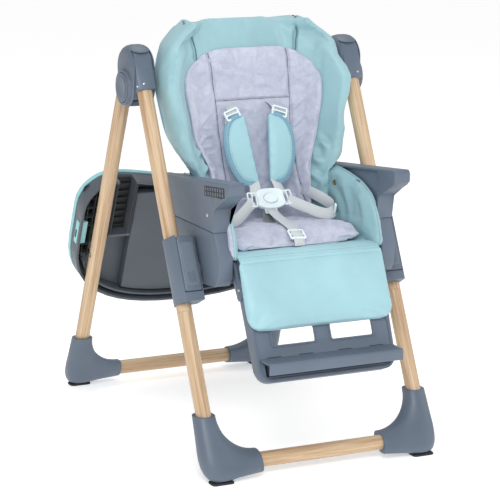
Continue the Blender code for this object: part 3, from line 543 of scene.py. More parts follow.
def curved(points, steps=8, closed=False):
    """A smooth path through points."""
    path = [Vector(p) for p in points]
    count = len(path)
    out = []
    spans = count if closed else count - 1
    for i in range(spans):
        if closed:
            p0, p1, p2, p3 = (path[(i + k) % count] for k in (-1, 0, 1, 2))
        else:
            p1, p2 = path[i], path[i + 1]
            p0 = path[i - 1] if i else p1 * 2.0 - p2
            p3 = path[i + 2] if i + 2 < count else p2 * 2.0 - p1
        for k in range(steps):
            t = k / steps
            out.append(
                0.5
                * (
                    2.0 * p1
                    + (p2 - p0) * t
                    + (2.0 * p0 - 5.0 * p1 + 4.0 * p2 - p3) * t * t
                    + (3.0 * p1 - p0 - 3.0 * p2 + p3) * t**3
                )
            )
    if not closed:
        out.append(path[-1].copy())
    return out


def evenly(points, pitch):
    """The path's points at an even pitch, with the direction at each."""
    out = []
    rest = 0.0
    for a, b in zip(points, points[1:]):
        length = (b - a).length
        if length < 1e-9:
            continue
        along = (b - a) / length
        while rest < length:
            out.append((a + along * rest, along))
            rest += pitch
        rest -= length
    return out


def arc(centre, radius, start, end, steps):
    turns = [math.radians(start + (end - start) * i / steps) for i in range(steps + 1)]
    return [(centre[0] + radius * math.cos(t), centre[1] + radius * math.sin(t)) for t in turns]


def rounded(left, right, low, high, radius, steps=5):
    return (
        arc((right - radius, low + radius), radius, -90, 0, steps)
        + arc((right - radius, high - radius), radius, 0, 90, steps)
        + arc((left + radius, high - radius), radius, 90, 180, steps)
        + arc((left + radius, low + radius), radius, 180, 270, steps)
    )


def plate(name, outlines, thickness, bevel, matrix, material, body, smooth=50.0):
    """A flat plate with rounded edges: the first outline is its rim and the others are holes.

    Its back face lies in the matrix's XY plane and it grows along Z.
    """
    data = bpy.data.curves.new(name, "CURVE")
    data.dimensions = "2D"
    data.fill_mode = "BOTH"
    data.extrude = max(0.0001, thickness / 2.0 - bevel)
    data.bevel_depth = bevel
    data.bevel_resolution = 2
    data.offset = -bevel
    for outline in outlines:
        spline = data.splines.new("POLY")
        spline.points.add(len(outline) - 1)
        for point, (a, b) in zip(spline.points, outline):
            point.co = (a, b, 0.0, 1.0)
        spline.use_cyclic_u = True
    holder = linked(name + "_curve", data)
    bpy.context.view_layer.update()
    mesh = bpy.data.meshes.new_from_object(holder)
    bpy.data.objects.remove(holder)
    mesh.transform(matrix @ Matrix.Translation((0.0, 0.0, thickness / 2.0)))
    form = bmesh.new()
    form.from_mesh(mesh)
    bmesh.ops.remove_doubles(form, verts=form.verts, dist=0.00002)
    bpy.data.meshes.remove(mesh)
    return piece(name, form, material, body, smooth)


def spun(matrix, profile, sides):
    """The rings of a profile of (radius, height) points turned about the matrix's Z axis."""
    return [[matrix @ Vector((a, b, height)) for a, b in circle(radius, sides)] for radius, height in profile]


def turned(name, profile, matrix, material, body, sides=40, smooth=35.0):
    return piece(name, loft(spun(matrix, profile, sides)), material, body, smooth)


def facing(point, normal, up=(0.0, 0.0, 1.0)):
    """A frame at point whose Z is normal and whose Y leans towards up."""
    z = Vector(normal).normalized()
    x = Vector(up).cross(z)
    if x.length < 1e-4:
        x = Vector((1.0, 0.0, 0.0))
    x.normalize()
    y = z.cross(x)
    return Matrix.Translation(point) @ Matrix((x, y, z)).transposed().to_4x4()


def screw(name, point, normal, body, radius=0.0042):
    """A domed steel screw head with a round dimple in its middle, its base sunk a little below the surface.
    """
    matrix = facing(point, normal)
    head = [(0.00005, -0.002), (radius, -0.002), (radius, 0.0002), (radius * 0.85, 0.0009)]
    head += [(radius * 0.45, 0.0013), (radius * 0.30, 0.0004), (0.00005, 0.0002)]
    return turned(name, head, matrix, STEEL, body, 20)


# ---------------------------------------------------------------- CAD pieces that stay


def dress(node, material, bevel=0.0, smooth=34.0):
    """A CAD node that stays: its material, its rounded edges and its smooth faces."""
    shape = NODES[node]
    mesh = shape.data
    mesh.materials.clear()
    mesh.materials.append(material)
    smooth_by_angle(mesh, smooth)
    weld = shape.modifiers.new("weld", "WELD")
    weld.merge_threshold = 0.00002
    if bevel:
        flat = shape.modifiers.new("flat", "DECIMATE")
        flat.decimate_type = "DISSOLVE"
        flat.angle_limit = math.radians(0.6)
        edge = shape.modifiers.new("edge", "BEVEL")
        edge.width = bevel
        edge.segments = 2
        edge.limit_method = "ANGLE"
        edge.angle_limit = math.radians(38.0)
        edge.use_clamp_overlap = True
    return shape


def dress_all():
    for label, _ in SIDES:
        for word in ("front_foot", "rear_foot"):
            dress(f"{word}_{label}", PLASTIC, 0.0008, 40.0)
            dress(f"{word}_pad_{label}", RUBBER, 0.0006)
        dress(f"front_hub_socket_{label}", PLASTIC, 0.0012)
        dress(f"rear_hub_shell_{label}", PLASTIC, 0.0008, 45.0)
        dress(f"fold_button_{label}", PLASTIC, 0.0006)
        dress(f"pivot_pin_{label}", STEEL)
        dress(f"tray_peg_{label}", STEEL)
        dress(f"seat_casing_{label}", PLASTIC, 0.0020)
        dress(f"armrest_{label}", PLASTIC, 0.0008, 30.0)
        dress(f"height_sleeve_{label}", PLASTIC, 0.0012)
        dress(f"height_lever_{label}", PLASTIC, 0.0006)
        dress(f"tray_latch_{label}", TEAL_PLASTIC, 0.0012)
    for node in ("seat_shell", "recline_handle"):
        dress(node, PLASTIC, 0.0008)
    for node in ("footboard", "foot_bar"):
        dress(node, PLASTIC, 0.0010)
    dress("tray_base", TRAY_GREY, 0.0008)
    dress("tray_top", TEAL_PLASTIC, 0.0010)
    for node in ("leg_rest_pin", "recline_pin"):
        dress(node, STEEL)


TUBE_RADIUS = 0.017
GRAIN_SHIFT = 1.7


def build_tubes():
    """The printed tubes, round and with the grain along them, each with its own stretch of grain."""
    tubes = {f"front_leg_upper_{s}": "front_frame" for s, _ in SIDES}
    tubes.update({f"front_leg_lower_{s}": "front_frame" for s, _ in SIDES})
    tubes.update({f"rear_leg_{s}": "rear_frame" for s, _ in SIDES})
    tubes.update({"front_crossbar": "front_frame", "rear_crossbar": "rear_frame"})
    for order, (node, body) in enumerate(tubes.items()):
        cloud = vector_array(NODES[node].data.vertices, "co")
        centre = (cloud.min(0) + cloud.max(0)) / 2.0
        axis = np.linalg.svd(cloud - centre, full_matrices=False)[2][0]
        reach = (cloud - centre) @ axis
        axis = Vector(axis)
        start = Vector(centre) + axis * reach.min()
        end = Vector(centre) + axis * reach.max()
        path = [start.lerp(end, i / 12.0) for i in range(13)]
        form = sweep(path, circle(TUBE_RADIUS, 48))
        layer = form.loops.layers.uv.active
        for face in form.faces:
            for loop in face.loops:
                loop[layer].uv.y += GRAIN_SHIFT * order
        name = node.replace("leg", "leg_tube").replace("crossbar", "cross_tube")
        shape = piece(name, form, WOOD, body)
        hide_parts(node)


# ---------------------------------------------------------------- padded pieces

CUSHIONS = []


def remeshed(name, form, voxel):
    """A new object whose mesh is the form's volume in even quads."""
    mesh = bpy.data.meshes.new(name + "_solid")
    bmesh.ops.recalc_face_normals(form, faces=form.faces)
    form.to_mesh(mesh)
    form.free()
    holder = linked(name + "_solid", mesh)
    remesh = holder.modifiers.new("remesh", "REMESH")
    remesh.mode = "VOXEL"
    remesh.voxel_size = voxel
    even = holder.modifiers.new("even", "CORRECTIVE_SMOOTH")
    even.iterations = 2
    even.use_only_smooth = True
    graph = bpy.context.evaluated_depsgraph_get()
    result = bpy.data.meshes.new_from_object(holder.evaluated_get(graph))
    bpy.data.objects.remove(holder)
    bpy.data.meshes.remove(mesh)
    result.name = name
    return linked(name, result)


def merged(forms):
    """One bmesh holding several closed forms, to be fused by the remesh."""
    whole = bmesh.new()
    for form in forms:
        bmesh.ops.recalc_face_normals(form, faces=form.faces)
        mesh = bpy.data.meshes.new("part")
        form.to_mesh(mesh)
        form.free()
        whole.from_mesh(mesh)
        bpy.data.meshes.remove(mesh)
    return whole


def cushion(name, form, voxel, held, cap, pressure=4.0, slack=0.02, inset=0.001):
    """Queue a padded piece: held(point, normal) says which points rest on something."""
    shape = remeshed(name, form, voxel)
    mesh = shape.data
    points, normals = arrays(mesh)
    grip = [held(Vector(p), Vector(n)) for p, n in zip(points, normals)]
    set_points(mesh, points - normals * inset)
    group = shape.vertex_groups.new(name="held")
    for i, weight in enumerate(grip):
        if weight > 0.0:
            group.add([i], float(weight), "REPLACE")
    CUSHIONS.append((shape, cap, pressure, slack))
    return shape


def vector_array(items, word):
    values = np.empty(len(items) * 3)
    items.foreach_get(word, values)
    return values.reshape(-1, 3)


def arrays(mesh):
    return vector_array(mesh.vertices, "co"), vector_array(mesh.vertex_normals, "vector")


def set_points(mesh, points):
    mesh.vertices.foreach_set("co", np.ascontiguousarray(points, dtype=np.float64).ravel())
    mesh.update()


def puff_cushions():
    """Blow every queued cushion up together, then keep the result and refine it once."""
    last = 20
    rest = [vector_array(shape.data.vertices, "co") for shape, *_ in CUSHIONS]
    for shape, _, pressure, slack in CUSHIONS:
        cloth = shape.modifiers.new("cloth", "CLOTH")
        settings = cloth.settings
        settings.quality = 4
        settings.mass = 0.25
        settings.tension_stiffness = 14.0
        settings.compression_stiffness = 14.0
        settings.shear_stiffness = 5.0
        settings.bending_stiffness = 0.6
        settings.use_pressure = True
        settings.uniform_pressure_force = pressure
        settings.shrink_min = -slack
        settings.effector_weights.gravity = 0.0
        settings.vertex_group_mass = "held"
        cloth.collision_settings.use_collision = False
        cloth.point_cache.frame_start = 1
        cloth.point_cache.frame_end = last
    for step in range(1, last + 1):
        bpy.context.scene.frame_set(step)
    graph = bpy.context.evaluated_depsgraph_get()
    for (shape, cap, *_), start in zip(CUSHIONS, rest):
        blown = vector_array(shape.evaluated_get(graph).data.vertices, "co")
        moved = blown - start
        length = np.linalg.norm(moved, axis=1, keepdims=True)
        soft_cap = cap * np.tanh(length / cap)
        moved *= np.where(length > 1e-9, soft_cap / np.maximum(length, 1e-9), 1.0)
        shape.modifiers.clear()
        set_points(shape.data, start + moved)
    bpy.context.scene.frame_set(1)
    for shape, *_ in CUSHIONS:
        shape.vertex_groups.clear()
        relax = shape.modifiers.new("relax", "SMOOTH")
        relax.factor = 0.5
        relax.iterations = 2
        refine(shape)


def refine(shape):
    """Apply the piece's modifiers and one subdivision."""
    finer = shape.modifiers.new("finer", "SUBSURF")
    finer.levels = finer.render_levels = 1
    graph = bpy.context.evaluated_depsgraph_get()
    refined = bpy.data.meshes.new_from_object(shape.evaluated_get(graph))
    shape.modifiers.clear()
    old = shape.data
    shape.data = refined
    refined.name = shape.name
    bpy.data.meshes.remove(old)


def tree_through(points):
    tree = KDTree(len(points))
    for i, point in enumerate(points):
        tree.insert(point, i)
    tree.balance()
    return tree


def path_tree(paths):
    return tree_through([point for path in paths for point, _ in evenly([Vector(p) for p in path], 0.0015)])


def snapped(shape, paths):
    """Each path moved onto the piece's surface."""
    tree = tree_of(shape)
    return [[place for place, _ in laid_on(tree, path, 0.0)] for path in paths]


def press(shape, paths, depth, width, pucker=0.0, side=None):
    """Sink a seam into a cushion along paths, with small puckers beside it."""
    tree = path_tree(snapped(shape, paths))
    mesh = shape.data
    points, normals = arrays(mesh)
    for i, (p, n) in enumerate(zip(points, normals)):
        if side is not None and not side(p, n):
            continue
        distance = tree.find(Vector(p))[2]
        if distance > 5.0 * width:
            continue
        drop = depth * math.exp(-((distance / width) ** 2))
        if pucker:
            near = math.exp(-((distance / (3.0 * width)) ** 2))
            drop += pucker * near * noise.noise(Vector(p) * 95.0)
        points[i] = p - n * drop
    set_points(mesh, points)


def fold(shape, paths, height, width, side=None):
    """Raise rounded folds with a valley beside them along paths, fading at both ends."""
    mesh = shape.data
    points, normals = arrays(mesh)
    moved = np.zeros(len(points))
    for path in snapped(shape, paths):
        line = [p for p, _ in evenly(curved(path, 8), 0.002)]
        tree = tree_through(line)
        for i, (p, n) in enumerate(zip(points, normals)):
            _, index, distance = tree.find(Vector(p))
            if distance > 4.0 * width:
                continue
            if side is not None and not side(p, n):
                continue
            share = index / max(1, len(line) - 1)
            fade = math.sin(math.pi * min(1.0, max(0.0, 0.08 + 0.84 * share)))
            ridge = math.exp(-((distance / width) ** 2))
            valley = 0.55 * math.exp(-(((distance - 1.9 * width) / width) ** 2))
            moved[i] += height * fade * (ridge - valley)
    set_points(mesh, points + normals * moved[:, None])


def crumple(shape, scale, height, where=None):
    """Soft irregular lumps all over, or where the function says."""
    mesh = shape.data
    points, normals = arrays(mesh)
    lift = np.zeros(len(points))
    for i, p in enumerate(points):
        weight = 1.0 if where is None else where(p, normals[i])
        if weight:
            spot = Vector(p) * scale
            finer = noise.noise(spot * 2.1 + Vector((7.0, 3.0, 1.0)))
            lift[i] = weight * height * (noise.noise(spot) + 0.5 * finer)
    set_points(mesh, points + normals * lift[:, None])


def tree_of(shape):
    graph = bpy.context.evaluated_depsgraph_get()
    return BVHTree.FromObject(shape, graph)


def laid_on(tree, path, offset):
    """The path moved to the nearest point of a surface, with the surface's normal at each point."""
    out = []
    for point in path:
        place, normal, _, _ = tree.find_nearest(Vector(point))
        out.append((place + normal * offset, normal))
    return out


def piping(name, shape, path, radius, material, body, offset):
    """A cord sewn on a cushion along an open path, smoothed so that it doesn't follow every wrinkle; dark
    cords laid in seam grooves paint the seams' shadow.
    """
    spots = [p for p, _ in laid_on(tree_of(shape), path, offset)]
    for _ in range(6):
        inner = [(a + 2.0 * b + c) / 4.0 for a, b, c in zip(spots, spots[1:], spots[2:])]
        spots = [spots[0]] + inner + [spots[-1]]
    return piece(name, sweep(spots, circle(radius)), material, body, 180.0)


# a stitch's rings: their place along it, their lift off the cloth and their relative radius
STITCH = ((-0.5, -0.0003, 0.5), (-0.25, 0.00012, 1.0), (0.25, 0.00012, 1.0), (0.5, -0.0003, 0.5))
STITCH_RADIUS = 0.00038


def stitches(name, shape, paths, material, body, pitch=0.0042, length=0.0028):
    """Short threads along seams, sunk a little in the cloth."""
    tree = tree_of(shape)
    form = bmesh.new()
    for path in paths:
        for point, along in evenly([Vector(p) for p in path], pitch):
            place, normal, _, _ = tree.find_nearest(point)
            along = (along - normal * along.dot(normal)).normalized()
            side = along.cross(normal)
            rings = []
            for share, lift, size in STITCH:
                centre = place + along * (share * length) + normal * lift
                rings.append([centre + side * a + normal * b for a, b in circle(STITCH_RADIUS * size, 6)])
            add_rings(form, rings)
    return piece(name, form, material, body, 180.0)


def finish_soft(shape, material):
    """A soft piece's material and smooth faces."""
    mesh = shape.data
    mesh.materials.clear()
    mesh.materials.append(material)
    smooth_by_angle(mesh, 180.0)


def settle(shape, node, material, body):
    """A finished cushion: its finish, what it stands for and what it rides on."""
    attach(shape, body)
    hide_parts(node)
    finish_soft(shape, material)


def paint_faces(shape, material, chosen):
    """Give the faces that chosen(centre, normal) picks a second material."""
    mesh = shape.data
    mesh.materials.append(material)
    index = len(mesh.materials) - 1
    for polygon in mesh.polygons:
        if chosen(polygon.center, polygon.normal):
            polygon.material_index = index


# ---------------------------------------------------------------- backrest

BACK_LOW, BACK_TOP = at(0.0, -0.045, 0.46), at(0.0, 0.069, 0.94)
BACK_SQUARENESS = 5.0
BACK_HALVES = ((0.46, 0.152), (0.60, 0.160), (0.70, 0.206), (0.81, 0.2228), (0.88, 0.204), (0.94, 0.143))
BACK_DEPTHS = ((0.46, 0.115), (0.60, 0.150), (0.70, 0.166), (0.81, 0.178), (0.88, 0.150), (0.94, 0.140))
WING_TURN = math.radians(80.0)


def blended(value, stops):
    """Smooth interpolation through (position, result) stops."""
    for (low, first), (high, second) in zip(stops, stops[1:]):
        if value <= high:
            share = max(0.0, (value - low) / (high - low))
            return first + (second - first) * share * share * (3.0 - 2.0 * share)
    return stops[-1][1]


def cover_inset(z):
    """The cover's front face: its distance ahead of the rear face and in from the sides."""
    ahead = blended(z, ((0.46, 0.030), (0.60, 0.036), (0.76, 0.050), (0.875, 0.078), (0.94, 0.062)))
    inwards = blended(z, ((0.46, 0.026), (0.60, 0.032), (0.72, 0.040), (0.86, 0.042), (0.94, 0.040)))
    return ahead, inwards


def back_point(z, turn, rear_in, side_in):
    """A point on the backrest's rounded-square section at a height, moved in from the rear and the sides."""
    half = blended(z, BACK_HALVES) - side_in
    depth = blended(z, BACK_DEPTHS) - rear_in
    rear = BACK_LOW.lerp(BACK_TOP, (z - BACK_LOW.z) / (BACK_TOP.z - BACK_LOW.z))
    sine, cosine = math.sin(turn), math.cos(turn)
    reach = (abs(sine) ** BACK_SQUARENESS + abs(cosine) ** BACK_SQUARENESS) ** (-1.0 / BACK_SQUARENESS)
    return Vector((half * reach * sine, rear.y - rear_in - depth * (1.0 - reach * cosine), z))


LINER_TURNS = (
    (0.51, 68.0), (0.62, 64.0), (0.68, 56.5), (0.76, 60.0), (0.80, 57.0), (0.835, 50.0),
    (0.866, 39.0), (0.876, 28.0),
)


def liner_reach(z):
    """How far round the backrest's section the liner reaches."""
    return math.radians(blended(z, LINER_TURNS))


def faces_child(p, n):
    """How far a point of the backrest's padding faces the child: 1 inside, 0 outside."""
    z = min(max(p[2], BACK_LOW.z), BACK_TOP.z)
    rear = BACK_LOW.lerp(BACK_TOP, (z - BACK_LOW.z) / (BACK_TOP.z - BACK_LOW.z))
    inward = Vector((-p[0], rear.y - 0.15 - p[1], 0.0))
    return inward.normalized().dot(Vector((n[0], n[1], 0.0)))


WRAP_OUT = 0.0040
COVER_CROWN_Z, COVER_CROWN = 0.908, 0.018
COVER_BACK_DROP = 0.024
COVER_CORNER = math.radians(40.0)
COVER_GATHER_Z, COVER_GATHER = 0.634, 0.012
WING_ROLL_FROM, WING_ROLL = math.radians(50.0), 0.66
PIPING_TURN = math.radians(57.0)
WRAP_TURNS = ((0.50, 76.0), (0.60, 70.0), (0.69, 46.0))


def wrap_turn(z):
    """Where the cover's wrapped edge lies on the shell's side, further forward near the seat."""
    return math.radians(blended(z, WRAP_TURNS))


def cover_rings():
    """The headrest cover: foam ahead of the shell, wrapped round the shell's sides and over its top."""
    rings = []
    columns = 30
    for z in [0.500 + 0.0145 * i for i in range(30)] + [0.9300, 0.9375, 0.9405]:
        turns = [WING_TURN * (2.0 * j / columns - 1.0) for j in range(columns + 1)]
        outer = []
        for turn in turns:
            wrapped = abs(turn) > wrap_turn(z) or z > 0.915
            inset = -WRAP_OUT if wrapped else 0.0085
            outer.append(back_point(z, turn * 1.012, inset, inset))
        ahead, inwards = cover_inset(z)
        over = max(0.0, (z - COVER_CROWN_Z) / (0.9405 - COVER_CROWN_Z))
        crown = COVER_CROWN * (1.0 - math.sqrt(max(0.0, 1.0 - over * over)))
        inner = []
        for turn in reversed(turns):
            roll = blended(abs(turn), ((WING_ROLL_FROM, 0.0), (WING_TURN, WING_ROLL)))
            inner.append(back_point(z, turn, ahead - crown, (inwards - 0.5 * crown) * (1.0 - roll)))
        bulge = COVER_GATHER * math.exp(-(((z - COVER_GATHER_Z) / 0.030) ** 2))
        ring = []
        for point, turn in zip(outer + inner, turns + turns[::-1]):
            tip = blended(abs(turn), ((math.radians(52.0), 0.0), (WING_TURN, 1.0)))
            push = Vector((math.copysign(bulge, turn), -0.9 * bulge, 0.0)) * tip
            flat = blended(abs(turn), ((COVER_CORNER, 1.0), (COVER_CORNER + 0.10, 0.0)))
            behind = flat if len(ring) < len(outer) else 0.0
            ring.append(point + push - Vector((0.0, 0.0, COVER_BACK_DROP * over * behind)))
        rings.append(ring)
    return rings


BACK_RIB = ((-0.004, -0.0012), (0.004, -0.0012), (0.003, 0.0016), (-0.003, 0.0016))


def build_back_panel():
    """The moulded back: a curved panel with upright ribs, its lugs and the handle's ears."""
    rings = []
    for z in [0.478 + 0.0178 * i for i in range(25)]:
        limit = wrap_turn(z) + math.radians(-2.0 if z > 0.66 else 4.0)
        turns = [limit * (j / 12.0 - 1.0) for j in range(25)]
        outer = [back_point(z, t, 0.0, 0.0) for t in turns]
        inner = [back_point(z, t, 0.006, 0.006) for t in reversed(turns)]
        rings.append(outer + inner)
    panel = piece("back_panel", loft(rings), PLASTIC, "backrest", 40.0)
    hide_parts("back_shell")
    for k, turn in enumerate((-26.0, -15.0, 15.0, 26.0)):
        line = [back_point(0.500 + 0.0205 * i, math.radians(turn), -0.0004, -0.0004) for i in range(20)]
        piece(f"back_rib_{k}", sweep(line, BACK_RIB, across=(1, 0, 0)), PLASTIC, "backrest", 40.0)
    for label, side in SIDES:
        x = side * 0.100
        lug = arc((-0.0520, 0.4885), 0.0085, -10, 170, 12) + arc((-0.045, 0.448), 0.010, 175, 340, 11)
        piece(f"back_lug_{label}", extruded(lug, x - 0.005, x + 0.005), PLASTIC, "backrest", 40.0)
        ear = arc((0.030, 0.742), 0.0075, -90, 90, 12) + [(0.012, 0.7500), (0.012, 0.7340)]
        low, high = sorted((side * 0.0545, side * 0.0608))
        piece(f"handle_ear_{label}", extruded(ear, low, high), PLASTIC, "backrest", 40.0)


def build_back_cover():
    def held(p, n):
        behind = faces_child(p, n) < -0.2
        return 1.0 if (behind and abs(p[0]) < 0.9 * blended(p[2], BACK_HALVES)) or p[2] < 0.51 else 0.0

    return cushion("headrest_cover", loft(cover_rings()), 0.0058, held, 0.009, 4.5, 0.02, 0.0015)


LINER_FACE = 0.0125
LINER_SEAM = 0.016


def liner_point(z, share, depth):
    """A point on the liner: share is -1 to 1 across it, depth its distance off the cover."""
    ahead, inwards = cover_inset(z)
    return back_point(z, liner_reach(z) * share, ahead + depth, inwards + depth)


def build_back_liner():
    rings = []
    columns = 24
    for z in [0.508 + 0.0122 * i for i in range(30)] + [0.8680, 0.8730, 0.8760]:
        shares = [2.0 * j / columns - 1.0 for j in range(columns + 1)]
        near = [liner_point(z, s, 0.0015) for s in shares]
        far = [liner_point(z, s, LINER_FACE) for s in reversed(shares)]
        rings.append(near + far)

    def held(p, n):
        return 1.0 if faces_child(p, n) < -0.1 else 0.0

    return cushion("back_liner_pad", loft(rings), 0.0050, held, 0.007, 4.0, 0.03, 0.0010)


def across_at(z, x, depth=LINER_FACE):
    """The liner's front face, or the depth given, at a height and a distance from the middle."""
    low, high = 0.0, math.radians(88.0)
    ahead, inwards = cover_inset(z)
    for _ in range(30):
        turn = (low + high) / 2.0
        if back_point(z, turn, ahead + depth, inwards + depth).x < abs(x):
            low = turn
        else:
            high = turn
    return back_point(z, math.copysign(low, x), ahead + depth, inwards + depth)


def inside(p, n):
    return faces_child(p, n) > 0.25


# each seam's side and its distance from the middle at some heights
LINER_SEAMS = (
    (
        -1.0,
        (
            (0.512, 0.063), (0.575, 0.068), (0.640, 0.074), (0.700, 0.081), (0.765, 0.084),
            (0.810, 0.093), (0.872, 0.104),
        ),
    ),
    (
        1.0,
        (
            (0.512, 0.110), (0.551, 0.107), (0.604, 0.102), (0.690, 0.101), (0.754, 0.103),
            (0.800, 0.100), (0.872, 0.092),
        ),
    ),
)
LINER_BAND_Z = 0.758
# folds where the liner hangs slack: first height and its step, first x and its step, and the count
LINER_SLACK = (
    (0.745, -0.004, -0.030, 0.010, 6), (0.700, -0.010, 0.050, -0.006, 6),
    (0.835, -0.006, -0.085, 0.016, 5), (0.800, -0.004, 0.010, 0.015, 5),
    (0.600, -0.004, -0.050, 0.020, 6),
)


def liner_seams():
    """The liner's two upright seams and the level one under the head panel."""
    upright = []
    for side, stops in LINER_SEAMS:
        low, high = stops[0][0], stops[-1][0]
        heights = [low + (high - low) * i / 44 for i in range(45)]
        upright.append([across_at(z, side * blended(z, stops), LINER_SEAM) for z in heights])
    band = [across_at(LINER_BAND_Z, -0.082 + 0.183 * i / 40.0 + 1e-5, LINER_SEAM) for i in range(41)]
    return upright, band


def cover_seams():
    """The cover's two seams, from its top edge down to the liner."""
    seams = []
    for _, side in SIDES:
        top, low = at(side * 0.1415 - 0.006, 0.004, 0.945), at(side * 0.1230 - 0.009, -0.046, 0.856)
        between = (top + low) / 2.0 + Vector((-side * 0.002, -0.006, 0.004))
        seams.append(curved([top + Vector((0.0, 0.030, 0.0)), top, between, low], 10))
    return seams


def cover_gathers():
    """The folds that bunch at the cover's waist, on both sides."""
    folds = []
    for _, side in SIDES:
        for k, z in enumerate((0.672, 0.654, 0.638, 0.618, 0.596)):
            ahead, inwards = cover_inset(z)
            tilt = 0.003 if k % 2 else -0.009
            run = []
            for j, share in enumerate((0.80, 0.92, 1.02, 1.10)):
                run.append(back_point(z + tilt * j, side * WING_TURN * share * 0.9, ahead, inwards))
            folds.append(run)
    return folds


def finish_back_cover(cover):
    seams = cover_seams()
    press(cover, seams, 0.0065, 0.0045, 0.0004)
    fold(cover, cover_gathers(), 0.0044, 0.0070)
    crumple(cover, 9.0, 0.0016, lambda p, n: 1.0 if p[2] < 0.9 else 0.4)
    crumple(cover, 42.0, 0.0010, lambda p, n: max(0.0, min(1.0, (0.70 - p[2]) / 0.06)))
    settle(cover, "back_cover", LEATHER, "backrest")
    # a dark cord in each seam groove paints the groove's shadow
    for (label, _), line in zip(SIDES, seams):
        piping(f"headrest_seam_{label}", cover, line[9:], 0.0014, TEAL_THREAD_AND_SEAM_SHADE, "backrest", 0.0011)
    beside = [[p + Vector((0.0045 * s, 0, 0)) for p in line[10:]] for line, (_, s) in zip(seams, SIDES)]
    stitches("headrest_stitches", cover, beside, TEAL_THREAD_AND_SEAM_SHADE, "backrest")
    edges = []
    for _, side in SIDES:
        heights = [0.506 + 0.0106 * i for i in range(41)]
        edges.append([back_point(z, side * max(wrap_turn(z), PIPING_TURN), -0.004, -0.004) for z in heights])
    top_arc = [back_point(0.9190, PIPING_TURN * (i / 12.0 - 1.0), -0.002, -0.002) for i in range(25)]
    rim = edges[0] + top_arc + list(reversed(edges[1]))
    piping("headrest_piping", cover, rim, 0.0026, BINDING, "backrest", 0.0006)


def liner_gathers():
    """Small folds along the liner's two edges at the waist."""
    gathers = []
    for k in range(9):
        z = 0.610 + 0.011 * k + 0.004 * math.sin(2.3 * k)
        spread = 0.002 * (-1) ** k
        gathers.append(
            [across_at(z, -(0.100 + 0.008 * j)) + Vector((0, 0, spread * j)) for j in range(5)]
        )
    for side in (-1.0, 1.0):
        for z in (0.655, 0.690, 0.728):
            gathers.append([across_at(z + 0.010 * j * side, side * (0.104 + 0.012 * j)) for j in range(4)])
    return gathers


def finish_back_liner(liner):
    upright, band = liner_seams()
    press(liner, upright + [band], 0.0044, 0.0036, 0.0010, inside)
    fold(liner, liner_gathers(), 0.0024, 0.0038, inside)
    slack = [[across_at(z + dz * j, x + dx * j) for j in range(count)] for z, dz, x, dx, count in LINER_SLACK]
    fold(liner, slack, 0.0022, 0.0070, inside)
    crumple(liner, 14.0, 0.0030, lambda p, n: 1.0 if inside(p, n) else 0.2)
    crumple(liner, 48.0, 0.0010, lambda p, n: 1.0 if inside(p, n) else 0.2)
    settle(liner, "back_liner", VELOUR, "backrest")
    # a dark cord sunk in each seam paints the seam's shadow
    for k, line in enumerate(upright + [band]):
        piping(f"back_liner_seam_{k}", liner, line, 0.0008, GREY_THREAD_AND_SEAM_SHADE, "backrest", -0.0001)
    lines = [[p + Vector((0.0035 * s, 0, 0)) for p in line] for line, (_, s) in zip(upright, SIDES)]
    lines.append([p + Vector((0, 0, 0.0035)) for p in band])
    stitches("back_liner_stitches", liner, lines, GREY_THREAD_AND_SEAM_SHADE, "backrest")
    edge, other = (
        [liner_point(0.512 + 0.01175 * i, share, 0.006) for i in range(31)] for share in (-1.0, 1.0)
    )
    over = [liner_point(0.8755, -1.0 + 2.0 * i / 20.0, 0.006) for i in range(21)]
    piping("back_liner_piping", liner, edge + over + other[::-1], 0.0016, VELOUR, "backrest", 0.0004)


# ---------------------------------------------------------------- seat

SEAT_HALF, SEAT_CORNER_R, SEAT_COVER_IN, SEAT_COVER_OUT = 0.178, 0.032, 0.0165, 0.0045
SEAT_FRONT_Y, SEAT_REAR_Y = -0.308, -0.070
SEAT_FRONT_Z, SEAT_REAR_Z = 0.452, 0.436
WING_IN, WING_OUT = 0.1655, 0.1798
WING_OUTLINE = (
    (-0.345, 0.4600), (-0.3440, 0.4720), (-0.3360, 0.5050), (-0.3220, 0.5400), (-0.3020, 0.5680),
    (-0.2700, 0.5860), (-0.2200, 0.5970), (-0.1500, 0.6030), (-0.0740, 0.6040), (-0.0740, 0.4500),
    (-0.2900, 0.4560),
)


def seat_floor(y):
    share = (y - SHIFT - SEAT_FRONT_Y) / (SEAT_REAR_Y - SEAT_FRONT_Y)
    return SEAT_FRONT_Z + (SEAT_REAR_Z - SEAT_FRONT_Z) * min(1.0, max(0.0, share))


def extruded(outline, x_low, x_high):
    """A closed (y, z) outline between two x positions."""
    return loft([[at(x, y, z) for y, z in outline] for x in (x_low, x_high)])


def trough(y, offset):
    half = SEAT_HALF - offset
    radius = SEAT_CORNER_R - offset
    floor = seat_floor(y + SHIFT) + offset
    left = arc((-half + radius, floor + radius), radius, 180, 270, 8)
    right = arc((half - radius, floor + radius), radius, 270, 360, 8)
    points = [(-half, floor + radius + 0.03)] + left + right + [(half, floor + radius + 0.03)]
    return [at(x, y, z) for x, z in points]


